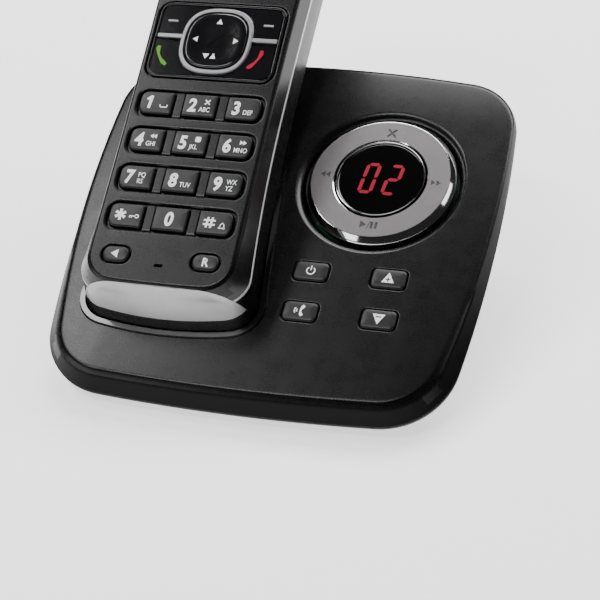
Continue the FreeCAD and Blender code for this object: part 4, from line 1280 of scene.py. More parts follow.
@dataclass
class BaseHousing:
    """The two shells of the base and what is fixed in them."""

    crease: BowedSquare = field(
        default_factory=lambda: BowedSquare(60.2, -53.6, 57.0, 290, 20, 600, 400, 16, 16)
    )
    rim: BowedSquare = field(
        default_factory=lambda: BowedSquare(61.7, -58.0, 58.0, 400, 8, 600, 400, 21, 17)
    )
    wall: float = 2.2
    ring_hole: float = 22.0
    lip_radius: float = 24.8
    button_size: tuple[float, float, float] = (9.7, 6.0, 1.4)
    button_pitch: tuple[float, float] = (22.0, 13.0)
    button_middle: tuple[float, float] = (24.4, -21.0)
    button_gap: float = 0.3
    socket_x: float = 12.0

    def rim_plane(self) -> Matrix:
        """The plane of the rim in the base's frame."""
        drop = (PLACES.flank_front + PLACES.flank_back) / 2
        lean = math.atan((PLACES.flank_front - PLACES.flank_back) / PLACES.base_depth)
        return Matrix.Translation((0, 0, -drop)) @ Matrix.Rotation(lean, 4, "X")

    def rim_section(self, inset: float, rise: float) -> Outline:
        """The rim's outline in the base's frame, moved inwards and up."""
        plane = self.rim_plane()
        return [plane @ point for point in at(self.rim.inset(inset).points(), rise)]

    def flank_section(self, share: float) -> Outline:
        """An outline part of the way from the rim to the crease."""
        low, high = self.rim_section(0.0, 0.0), at(self.crease.points(), 0.0)
        return [a.lerp(b, share) for a, b in zip(low, high)]

    def button_spots(self) -> list[tuple[float, float]]:
        """Middles of the four buttons: upper left, upper right, lower left, lower right."""
        x, y = self.button_middle
        across, along = self.button_pitch[0] / 2, self.button_pitch[1] / 2
        return [(x - across, y + along), (x + across, y + along), (x - across, y - along),
                (x + across, y - along)]

    def top(self) -> Form:
        """The upper shell."""
        sections = [self.rim_section(0.55, 0.0), self.rim_section(0.3, 0.14), self.rim_section(0.22, 0.4)]
        sections += [self.flank_section(share) for share in (0.3, 0.6, 0.75)]
        crown = [(0.0, 0.82), (0.22, 0.62), (0.6, 0.50), (1.2, 0.44), (3.0, 0.34), (6.0, 0.2), (10.0, 0.06),
                 (14.0, 0.0)]
        sections += [at(self.crease.inset(inset).points(), -drop) for inset, drop in crown]
        inner = skin([self.rim_section(self.wall, -1.0),
                      at(self.crease.inset(self.wall + 1).points(), -self.wall - 0.4)])
        shell = shaped(skin(sections), inner)
        shell = shaped(shell, moved(HandsetForm().solid(2.25), PLACES.seat()))
        outer = self.lip_radius
        lip = [(0.0, 3.0), (outer + 0.3, 3.0), (outer + 0.3, 0.04), (outer - 0.3, -0.03),
               (outer - 0.75, -0.16),
               (outer - 1.2, -0.4), (outer - 1.65, -0.75), (outer - 2.1, -1.25), (outer - 2.5, -1.9),
               (self.ring_hole, -2.8), (self.ring_hole, -12.0), (0.0, -12.0)]
        shell = shaped(
            shell, moved(turned(lip, 128), Matrix.Translation((PLACES.ring_x, PLACES.ring_y, 0)))
        )
        width, height, corner = self.button_size
        gap = 2 * self.button_gap
        tools = [
            opening(
                Patch.centred(x, y, width + gap, height + gap, corner + self.button_gap), -6.0, 0.0, 0.45
            )
            for x, y in self.button_spots()
        ]
        shell = shaped(shell, joined(tools))
        shell.normal_update()
        return tint(
            shell, 1, lambda face: face.normal.z < 0.72 and self.is_flank(face.calc_center_median())
        )

    def is_flank(self, point: Vector) -> bool:
        """True below the crease and outside the openings of the top."""
        return point.z < -0.9 and (abs(point.x) > 55.0 or abs(point.y) > 48.0)

    def foot_outline(self, inset: float) -> Outline:
        """Outline of the underside over the table.

        Args:
            inset: How far it stands inside the foot.

        Returns:
            The points.
        """
        front, back = PLACES.front_y + 3.0, PLACES.back_y - 11.0
        half, middle = (back - front) / 2, (back + front) / 2
        square = BowedSquare(45.7, -half, half, 400, 0, 600, 400, 10, 10).inset(inset)
        return [Vector((point.x, point.y + middle)) for point in square.points()]

    def underside(self) -> Form:
        """The lower shell, over the table."""
        stand = Matrix.Translation((0, 0, PLACES.top_height)) @ Matrix.Rotation(PLACES.slope, 4, "X")
        sections = [
            at(self.foot_outline(inset), level) for inset, level in ((1.2, 1.5), (0.35, 1.75), (0.0, 2.5))
        ]
        for inset, drop in (
            (1.8, 3.0), (0.95, 2.3), (0.65, 1.8), (0.45, 1.3), (0.25, 0.7), (0.25, 0.35), (0.5, 0.12)
        ):
            sections.append([stand @ point for point in self.rim_section(inset, -drop)])
        shell = skin(sections)
        inner = [
            at(self.foot_outline(self.wall), 3.5), [stand @ p for p in self.rim_section(self.wall, 0.2)]
        ]
        shell = shaped(shell, skin(inner))
        tools = []
        face = PLACES.back_y - PLACES.socket_face_from_back
        for side in (-1, 1):
            x = side * self.socket_x
            tools.append(block(x - 6.1, x + 6.1, face - 14.1, face + 0.1, 4.9, 16.1))
        for index in range(-2, 3):
            slot = Patch.centred(PLACES.ring_x, 8.0 + 4.0 * index, 18.0, 1.6, 0.75)
            tools.append(skin([at(slot.points(4), -1), at(slot.points(4), 5)]))
        for x, y in self.screw_spots():
            tools.append(rod(x, y, 3.1, -1, 3.1))
        return shaped(shell, joined(tools))

    def screw_spots(self) -> list[tuple[float, float]]:
        """Middles of the four housing screws over the table."""
        front, back = PLACES.front_y + 8.3, PLACES.back_y - 17.4
        spots = []
        for name_side in (-1, 1):
            spots.append((name_side * (61.7 - 38.0), front))
            spots.append((name_side * (61.7 - 25.3), back))
        return spots

    def feet(self) -> Form:
        """Four round pads with a dished grip face."""
        low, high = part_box("rubber_feet")
        shift = PLACES.stand().to_translation().y
        xs = (low.x * 1000 + 5.0, high.x * 1000 - 5.0)
        ys = (low.y * 1000 + 5.0 - shift, high.y * 1000 - 5.0 - shift)
        profile = [(0.0, 0.25), (3.3, 0.25), (3.7, 0.0), (4.5, 0.0), (4.85, 0.12), (5.0, 0.45), (5.0, 1.5),
                   (0.0, 1.5)]
        return joined([moved(turned(profile, 40), Matrix.Translation((x, y, 0))) for x in xs for y in ys])

    def screws(self) -> Form:
        """Four pan-head screws with crossed recesses."""
        head = [(0.0, 1.55), (1.9, 1.55), (2.5, 1.75), (2.8, 2.2), (2.8, 3.0), (1.4, 3.0), (1.4, 10.0),
                (0.0, 10.0)]
        pieces = []
        for x, y in self.screw_spots():
            screw = turned(head, 36)
            cross = joined([block(-1.7, 1.7, -0.35, 0.35, 1.0, 2.3)])
            screw = shaped(shaped(screw, cross), block(-0.35, 0.35, -1.7, 1.7, 1.0, 2.3))
            pieces.append(moved(screw, Matrix.Translation((x, y, 0))))
        return joined(pieces)

    def socket_wires(self) -> Form:
        """Four sprung wires in the line socket."""
        face = PLACES.back_y - PLACES.socket_face_from_back
        wires = []
        for index in range(4):
            x = self.socket_x + (index - 1.5) * 1.05
            wire = stroke([(0.3, 8.2), (3.0, 8.6), (6.5, 10.2), (8.8, 12.6)], [0.45], -0.2, 0.2)
            turn = Matrix(((0, 0, 1, x), (-1, 0, 0, face), (0, 1, 0, 0), (0, 0, 0, 1)))
            wires.append(moved(wire, turn))
        return joined(wires)

    def power_pin(self) -> Form:
        """The pin in the middle of the power socket."""
        face = PLACES.back_y - PLACES.socket_face_from_back
        profile = [(0.0, 0.6), (0.55, 0.8), (0.8, 1.4), (0.8, 8.9), (0.0, 8.9)]
        turn = Matrix.Translation((-self.socket_x, face, 10.5)) @ Matrix.Rotation(math.pi / 2, 4, "X")
        return moved(turned(profile, 24), turn)

    def build(self) -> None:
        """Makes the housing's pieces."""
        base, stand = PLACES.base(), PLACES.stand()
        finished("base_housing", self.top(), base, "base", ["satin_black", "flank_black"],
                 ["base_top_shell"], 28)
        finished("base_underside", self.underside(), stand, "base", ["underside_black"],
                 ["base_bottom_shell"], 28)
        finished("base_feet", self.feet(), stand, "base", ["rubber"], ["rubber_feet"])
        finished("housing_screws", self.screws(), stand, "base", ["steel"], ["base_screws"])
        finished("line_socket_wires", self.socket_wires(), stand, "base", ["gold_contact"])
        finished("power_socket_pin", self.power_pin(), stand, "base", ["steel"])


@dataclass
class Cradle:
    """The well that the handset stands in."""

    gap: float = 0.5
    wall: float = 1.6
    lip: float = 0.6

    def build(self) -> None:
        """Makes the well's lining with its rounded lip."""
        form = HandsetForm()
        lining = shaped(form.solid(self.gap + self.wall), form.solid(self.gap))
        pins = joined([rod(side * 8.0, -33.0, 1.35, -30.0, -20.0) for side in (-1, 1)])
        lining = moved(shaped(lining, pins), PLACES.seat())
        lining = shaped(lining, block(-100, 100, -100, 100, -60, self.lip), Cut.KEEP)
        rim = [
            edge for edge in lining.edges
            if all(abs(vert.co.z - self.lip) < 1e-3 for vert in edge.verts)
            and edge.calc_face_angle(0.0) > 0.4
        ]
        bmesh.ops.bevel(lining, geom=rim, offset=0.55, offset_type="OFFSET", affect="EDGES", segments=3,
                        profile=0.5, material=-1, clamp_overlap=True)
        finished("cradle_well", lining, PLACES.base(), "base", ["gloss_black"],
                 ["cradle_liner"], 40)


# Control ring, display and buttons


@dataclass
class ControlRing:
    """The rocking silver ring with its engraved marks."""

    outer: float = 21.5
    inner: float = 13.2
    top: float = 1.2
    thick: float = 2.2
    chamfer: float = 1.6
    mark_radius: float = 15.95
    mark_depth: float = 0.14

    def marks(self) -> Form:
        """Tools for the engraved marks: mute cross, back, forward, and play with pause."""
        low, high = self.top - self.mark_depth, self.top + 0.5
        r = self.mark_radius
        cross = [stroke([(-1.25, r - 1.35), (1.25, r + 1.35)], [0.6], low, high),
                 stroke([(-1.25, r + 1.35), (1.25, r - 1.35)], [0.6], low, high)]
        cross = [shaped(cross[0], cross[1], Cut.JOIN)]
        arrows = []
        for side in (-1, 1):
            for shift in (-0.75, 0.75):
                x = side * (r + 0.0) + shift
                arrows.append(wedge([(x + side * 0.72, 0.0), (x - side * 0.6, 1.0), (x - side * 0.6, -1.0)],
                                    low, high))
        play = [wedge([(-0.45, -r), (-2.3, -r + 1.15), (-2.3, -r - 1.15)], low, high)]
        pause = [wedge([(x, -r - 1.1), (x + 0.75, -r - 1.1), (x + 0.75, -r + 1.1), (x, -r + 1.1)], low,
                       high)
                 for x in (0.65, 1.9)]
        slash = [stroke([(-0.25, -r - 1.3), (0.45, -r + 1.3)], [0.22], low, high)]
        return joined(cross + arrows + play + pause + slash)

    def ring(self) -> Form:
        """The ring itself."""
        flat = self.outer - self.chamfer
        low = self.top - self.thick
        profile = [
            (self.inner, low), (self.inner, self.top - 0.35), (self.inner + 0.1, self.top - 0.12),
            (self.inner + 0.35, self.top), (flat - 0.12, self.top), (flat + 0.05, self.top - 0.04),
            (flat + 0.55, self.top - 0.50), (flat + 1.1, self.top - 1.08),
            (self.outer - 0.08, self.top - 1.55),
            (self.outer, self.top - 1.75), (self.outer, low),
        ]
        return turned(profile, 144)

    def build(self) -> None:
        """Makes the ring."""
        form = shaped(self.ring(), self.marks())
        floor = self.top - self.mark_depth

        def colour_of(face: Any) -> int:
            """Finish number of a face of the engraved ring.

            Args:
                face: The face.

            Returns:
                The number.
            """
            middle = face.calc_center_median()
            radius = math.hypot(middle.x, middle.y)
            if radius > self.outer - self.chamfer - 0.1 or radius < self.inner + 0.3:
                return 1
            return 2 if abs(middle.z - floor) < 0.03 and face.normal.z > 0.5 else 0

        form.normal_update()
        for face in form.faces:
            face.material_index = colour_of(face)
        finished("silver_ring", form, PLACES.ring(), "control_ring",
                 ["ring_silver", "chrome", "legend_grey"],
                 ["control_ring"], 24)


@dataclass
class MessageDisplay:
    """The round window with its two lit digits, and the bright lip round it."""

    outer: float = 12.8
    lip: float = 0.55
    top: float = 1.5
    window_top: float = 1.1
    dome: float = 0.3
    digit: tuple[float, float] = (4.35, 10.6)
    pitch: float = 6.75
    lean: float = 0.115
    bar: float = 1.05
    segments: Mapping[str, str] = field(default_factory=lambda: {"0": "abcdef", "2": "abged"})

    def bezel(self) -> Form:
        """The thin bright lip."""
        inner = self.outer - self.lip
        profile = [(inner, -2.0), (inner, self.top - 0.35), (inner + 0.08, self.top - 0.12),
                   (inner + 0.22, self.top),
                   (inner + 0.36, self.top - 0.03), (self.outer - 0.04, self.top - 0.25),
                   (self.outer, self.top - 0.6),
                   (self.outer, -2.0)]
        return turned(profile, 128)

    def window(self) -> Form:
        """The gently domed dark window."""
        edge = self.outer - self.lip - 0.02
        profile = [(0.0, -0.9), (edge, -0.9), (edge, self.window_top - 0.25),
                   (edge - 0.12, self.window_top - 0.06),
                   (edge - 0.4, self.window_top)]
        profile += [(edge * share, self.level(edge * share)) for share in (0.85, 0.7, 0.5, 0.3, 0.12)]
        profile.append((0.0, self.window_top + self.dome))
        return turned(profile, 128)

    def level(self, radius: float) -> float:
        """Height of the window at a distance from its middle."""
        edge = self.outer - self.lip - 0.42
        return self.window_top + self.dome * max(0.0, 1 - (radius / edge) ** 2)

    def segment(self, letter: str, middle: float) -> Form:
        """One bar of a digit, pointed at both ends.

        Args:
            letter: The bar's usual letter.
            middle: Middle of the digit.

        Returns:
            The bar.
        """
        width, height = self.digit
        half_bar = self.bar / 2
        x0, x1 = half_bar, width - half_bar
        y0, y1, y2 = half_bar, height / 2, height - half_bar
        ends = {"a": ((x0, y2), (x1, y2)), "b": ((x1, y1), (x1, y2)), "c": ((x1, y0), (x1, y1)),
                "d": ((x0, y0), (x1, y0)), "e": ((x0, y0), (x0, y1)), "f": ((x0, y1), (x0, y2)),
                "g": ((x0, y1), (x1, y1))}[letter]
        start, end = Vector(ends[0]), Vector(ends[1])
        run = (end - start).normalized()
        side = Vector((-run.y, run.x))
        gap = 0.14
        start, end = start + run * gap, end - run * gap
        points = [start, start + run * half_bar + side * half_bar, end - run * half_bar + side * half_bar,
                  end,
                  end - run * half_bar - side * half_bar, start + run * half_bar - side * half_bar]
        outline = []
        for point in points:
            y = point.y - height / 2
            outline.append(Vector((point.x - width / 2 + self.lean * y + middle, y - 0.3)))
        form = skin([at(outline, self.window_top - 0.1), at(outline, self.window_top + 0.5)])
        bmesh.ops.subdivide_edges(
            form, edges=[e for e in form.edges if e.calc_length() > 2.5], cuts=3, use_grid_fill=True
        )
        for vert in form.verts:
            surface = self.level(math.hypot(vert.co.x, vert.co.y))
            vert.co.z = surface + (0.035 if vert.co.z > self.window_top + 0.2 else -0.15)
        return form

    def digits(self) -> Form:
        """The lit number."""
        bars = []
        for index, digit in enumerate("02"):
            middle = 0.35 + (index - 0.5) * self.pitch
            bars += [self.segment(letter, middle) for letter in self.segments[digit]]
        return joined(bars)

    def build(self) -> None:
        """Makes the display's pieces."""
        ring = PLACES.ring()
        finished("display_lip", self.bezel(), ring, "base", ["smoke_chrome"], ["display_bezel"])
        finished("message_window", self.window(), ring, "base", ["window_glass"],
                 ["display_window"], 30)
        finished("lit_digits", self.digits(), ring, "base", ["lit_red"])


@dataclass
class BaseButtons:
    """The four push buttons below the ring."""

    housing: BaseHousing
    top: float = 0.55
    names: Sequence[str] = ("power_button", "volume_up_button", "paging_button", "volume_down_button")

    def marks(self, x: float, y: float) -> dict[str, Form]:
        """White marks of the four buttons, round their middles.

        Args:
            x, y: Middle of the button.

        Returns:
            The marks by the button's name.
        """
        low, high = self.top - 0.05, self.top + 0.04
        circle = curve_points((x, y - 0.05), 1.15, 125, 415, 18)
        power = joined(
            [stroke(circle, [0.34], low, high), stroke([(x, y + 0.1), (x, y + 1.55)], [0.34], low, high)]
        )
        up = wedge([(x - 1.75, y - 1.45), (x + 1.75, y - 1.45), (x, y + 1.75)], low, high)
        down = wedge([(x - 1.75, y + 1.45), (x, y - 1.75), (x + 1.75, y + 1.45)], low, high)
        dash = stroke([(x - 0.75, y - 0.5), (x + 0.75, y - 0.5)], [0.36], low - 1, high + 1)
        upright = stroke([(x, y - 1.2), (x, y + 0.2)], [0.36], low - 1, high + 1)
        up = shaped(up, shaped(dash, upright, Cut.JOIN))
        down = shaped(down, stroke([(x - 0.8, y + 0.6), (x + 0.8, y + 0.6)], [0.4], low - 1, high + 1))
        waves = [stroke(curve_points((x - 0.1, y), radius, 142, 218, 6), [0.3], low, high)
                 for radius in (0.75, 1.35)]
        handset = stroke(
            [(x + 0.9, y - 1.55), (x + 0.55, y - 1.1), (x + 0.3, y - 0.4), (x + 0.35, y + 0.4),
             (x + 0.7, y + 1.1),
             (x + 1.1, y + 1.6)], [0.8, 0.95, 0.5, 0.5, 0.95, 0.8], low, high)
        paging = joined([handset] + waves)
        return {"power_button": power, "volume_up_button": up, "paging_button": paging,
                "volume_down_button": down}

    def build(self) -> None:
        """Makes the buttons and their marks."""
        width, height, corner = self.housing.button_size
        for name, (x, y) in zip(self.names, self.housing.button_spots()):
            form = cap(Patch.centred(x, y, width, height, corner), -4.2, self.top, 0.6, 1.5, 0.12)
            finished(name + "_cap", form, PLACES.base(), name, ["key_plastic"], [name], 60)
            finished(
                name + "_mark", self.marks(x, y)[name], PLACES.base(), name, ["white_print"]
            )


# Handset


@dataclass(frozen=True)
class KeyLegend:
    """What is printed on a number key."""

    digit: str
    lines: tuple[str, ...] = ()
    icon: str = ""


@dataclass
class KeyPad:
    """The twelve number keys in their row trays, and the two small keys under them."""

    pitch_x: float = 13.0
    pitch_y: float = 11.8
    width: float = 9.8
    height: float = 6.9
    gap: float = 0.3
    tray_margin: float = 0.8
    tray_floor: float = -1.6
    end_corner: float = 2.0
    inner_corner: float = 0.5
    small: tuple[float, float, float] = (7.6, 4.6, -29.4)
    rows: Sequence[Sequence[tuple[str, KeyLegend]]] = field(default_factory=lambda: (
        (("key_1", KeyLegend("1", (), "tape")), ("key_2", KeyLegend("2", ("ABC",), "cross")),
         ("key_3", KeyLegend("3", ("DEF",)))),
        (("key_4", KeyLegend("4", ("GHI",), "back")), ("key_5", KeyLegend("5", ("JKL",), "stop")),
         ("key_6", KeyLegend("6", ("MNO",), "forward"))),
        (("key_7", KeyLegend("7", ("PQ", "RS"))), ("key_8", KeyLegend("8", ("TUV",))),
         ("key_9", KeyLegend("9", ("WX", "YZ")))),
        (("key_star", KeyLegend("*", (), "lock")), ("key_0", KeyLegend("0")),
         ("key_hash", KeyLegend("#", (), "bell"))),
    ))

    def spot(self, row: int, column: int) -> tuple[float, float]:
        """Middle of a key."""
        return (column - 1) * self.pitch_x, (1.5 - row) * self.pitch_y

    def patch(self, row: int, column: int) -> Patch:
        """Outline of a key: round at the ends of its row, nearly square between.

        Args:
            row, column: The key's place.

        Returns:
            The outline.
        """
        x, y = self.spot(row, column)
        left, right = (self.end_corner if column == end else self.inner_corner for end in (0, 2))
        return Patch(x - self.width / 2, y - self.height / 2, x + self.width / 2, y + self.height / 2,
                     (left, right, right, left))

    def small_patch(self, side: int) -> Patch:
        """Outline of a small key."""
        width, height, y = self.small
        return Patch.centred(side * self.pitch_x, y, width, height, height / 2 - 0.15)

    def trays(self, face: float) -> Form:
        """Tools for the four row trays and the recesses of the small keys.

        Args:
            face: Level of the face.

        Returns:
            The tools together.
        """
        tools = []
        for row in range(4):
            y = self.spot(row, 1)[1]
            tray = Patch.centred(0.0, y, 2 * self.pitch_x + self.width + 2 * self.tray_margin,
                                 self.height + 2 * self.tray_margin, 2.0 + self.tray_margin)
            tools.append(opening(tray, self.tray_floor, face, 0.75))
        for side in (-1, 1):
            tools.append(opening(self.small_patch(side).inset(-0.45), self.tray_floor, face, 0.5))
        return joined(tools)

    def holes(self) -> Form:
        """Tools for the holes that the keys stand in."""
        tools = []
        for row in range(4):
            for column in range(3):
                outline = self.patch(row, column).inset(-self.gap + 0.02).points()
                tools.append(skin([at(outline, -6.0), at(outline, -1.0)]))
        for side in (-1, 1):
            outline = self.small_patch(side).inset(-self.gap + 0.02).points()
            tools.append(skin([at(outline, -6.0), at(outline, -1.0)]))
        return joined(tools)

    def webs(self) -> Form:
        """Low bridges between the keys of a row, each with a sloping front edge painted light grey as a
        painted highlight.
        """
        bridges = []
        half = (self.pitch_x - self.width) / 2 - self.gap - 0.02
        for row in range(4):
            for side in (-0.5, 0.5):
                x, y = side * self.pitch_x, self.spot(row, 1)[1]
                outline = Patch(
                    x - half, y - self.height / 2 - 0.35, x + half, y + self.height / 2 + 0.45, (0.12,) * 4
                )
                bridges.append(cap(outline, self.tray_floor - 0.3, -1.0, 0.2, 4.6, 0.0, 3))
        form = joined(bridges)
        form.normal_update()
        # Faces turned forwards and up get the light grey finish: a painted highlight.
        return tint(form, 1, lambda face: face.normal.y < -0.25 and face.normal.z > 0.1)

    def icon(self, name: str, x: float, y: float, low: float, high: float) -> list[Form]:
        """Small mark printed beside a digit.

        Args:
            name: Which mark.
            x: Its middle across.
            y: Its middle along.
            low: Underside.
            high: Top.

        Returns:
            The solids that make the mark.
        """
        if name == "tape":
            line = [(x - 1.1, y + 0.35), (x - 1.0, y - 0.25), (x - 0.7, y - 0.42), (x + 0.7, y - 0.42),
                    (x + 1.0, y - 0.25),
                    (x + 1.1, y + 0.35)]
            return [stroke(line, [0.3], low, high)]
        if name == "cross":
            first = stroke([(x - 0.7, y - 0.7), (x + 0.7, y + 0.7)], [0.36], low, high)
            return [
                shaped(first, stroke([(x - 0.7, y + 0.7), (x + 0.7, y - 0.7)], [0.36], low, high), Cut.JOIN)
            ]
        if name in ("back", "forward"):
            side = -1 if name == "back" else 1
            return [wedge([(x + shift + side * 0.75, y), (x + shift - side * 0.25, y + 0.7),
                           (x + shift - side * 0.25, y - 0.7)], low, high)
                           for shift in (-0.45 * side, 0.5 * side)]
        if name == "stop":
            outline = squircle(0.82, 5.0, 24, x, y)
            return [skin([at(outline, low), at(outline, high)])]
        if name == "lock":
            eye = stroke(curve_points((x + 0.85, y), 0.5, -160, 160, 12), [0.26], low, high)
            stem = stroke([(x - 1.35, y), (x + 0.3, y)], [0.28], low, high)
            teeth = [stroke([(x + shift, y), (x + shift, y - 0.55)], [0.26], low, high)
                     for shift in (-1.2, -0.65)]
            return [eye, stem] + teeth
        bell = [(x - 0.95, y - 0.75), (x - 0.62, y - 0.4), (x - 0.5, y + 0.3), (x, y + 0.85),
                (x + 0.5, y + 0.3),
                (x + 0.62, y - 0.4), (x + 0.95, y - 0.75), (x - 0.95, y - 0.75)]
        return [stroke(bell, [0.26], low, high)]

    def legend(self, legend: KeyLegend, x: float, y: float) -> Form:
        """The print of one number key, on its top.

        Args:
            legend: What is printed.
            x, y: Middle of the key.

        Returns:
            The print.
        """
        low, high = -0.05, 0.045
        marks = []
        if legend.digit == "*":
            for angle in (90, 30, -30):
                dx, dy = 1.65 * math.cos(math.radians(angle)), 1.65 * math.sin(math.radians(angle))
                marks.append(stroke([(x - 1.5 - dx, y - dy), (x - 1.5 - dx / 2, y - dy / 2), (x - 1.5, y),
                                     (x - 1.5 + dx / 2, y + dy / 2), (x - 1.5 + dx, y + dy)],
                                    [0.85, 0.7, 0.5, 0.7, 0.85], low, high))
            marks = [shaped(shaped(marks[0], marks[1], Cut.JOIN), marks[2], Cut.JOIN)]
        elif legend.digit == "1":
            stem = stroke([(x - 1.85, y - 2.0), (x - 1.45, y + 2.0)], [0.85], low, high)
            flag = stroke([(x - 2.75, y + 0.75), (x - 1.6, y + 1.75)], [0.7], low, high)
            marks = [shaped(stem, flag, Cut.JOIN)]
        elif legend.digit == "#":
            bars = [stroke([(x - 1.5 + s * 0.62 - 0.12, y - 1.55), (x - 1.5 + s * 0.62 + 0.12, y + 1.55)],
                           [0.58], low, high)
                    for s in (-1, 1)]
            bars += [stroke([(x - 3.2, y + s * 0.62), (x + 0.2, y + s * 0.62)], [0.52], low, high)
                     for s in (-1, 1)]
            whole = bars[0]
            for bar in bars[1:]:
                whole = shaped(whole, bar, Cut.JOIN)
            marks = [whole]
        else:
            start = x - 1.475 if legend.digit == "0" else x - 3.225
            marks.append(lettering(legend.digit, 4.1, start, y - 2.0, low, 0.035, 0.86, 0.06, high - low))
        for index, line in enumerate(reversed(legend.lines)):
            left = x + 0.15 if len(line) == 3 else x + 0.55
            marks.append(
                lettering(line, 1.5, left, y - 1.95 + index * 1.95, low, 0.004, 0.82, 0.0, high - low)
            )
        if legend.icon:
            level = {"tape": -1.0, "lock": -0.2, "bell": -0.7}.get(legend.icon, 1.1)
            marks += self.icon(
                legend.icon, x + (2.5 if legend.icon in ("lock", "tape") else 2.3), y + level, low, high
            )
        return joined(marks)

    def small_legend(self, side: int) -> Form:
        """The print of a small key: an arrow on the left one, a letter on the right one.

        Args:
            side: Minus one for the left key, one for the right.

        Returns:
            The print.
        """
        y = self.small[2]
        low, high = -0.05, 0.045
        if side < 0:
            x = -self.pitch_x
            return wedge([(x - 1.25, y), (x + 0.75, y + 1.25), (x + 0.75, y - 1.25)], low, high)
        return lettering("R", 2.5, self.pitch_x - 0.85, y - 1.2, low, 0.02, 0.9, 0.0, high - low)

    def build(self) -> None:
        """Makes the keys and their print."""
        place = PLACES.handset()
        for row, keys in enumerate(self.rows):
            for column, (name, legend) in enumerate(keys):
                form = cap(self.patch(row, column), -3.0, 0.0, 0.42, 2.2, 0.08)
                finished(name + "_cap", form, place, name, ["key_plastic"], [name], 60)
                finished(name + "_print", self.legend(legend, *self.spot(row, column)), place, name,
                         ["white_print"])
        for side, name in ((-1, "back_key"), (1, "recall_key")):
            form = cap(self.small_patch(side), -3.0, 0.0, 0.55, 1.7, 0.08, 10)
            finished(name + "_cap", form, place, name, ["key_plastic"], [name], 60)
            finished(name + "_print", self.small_legend(side), place, name, ["white_print"])
        finished(
            "keypad_bridges", self.webs(), place, "handset", ["satin_black", "bridge_painted_highlight"]
        )


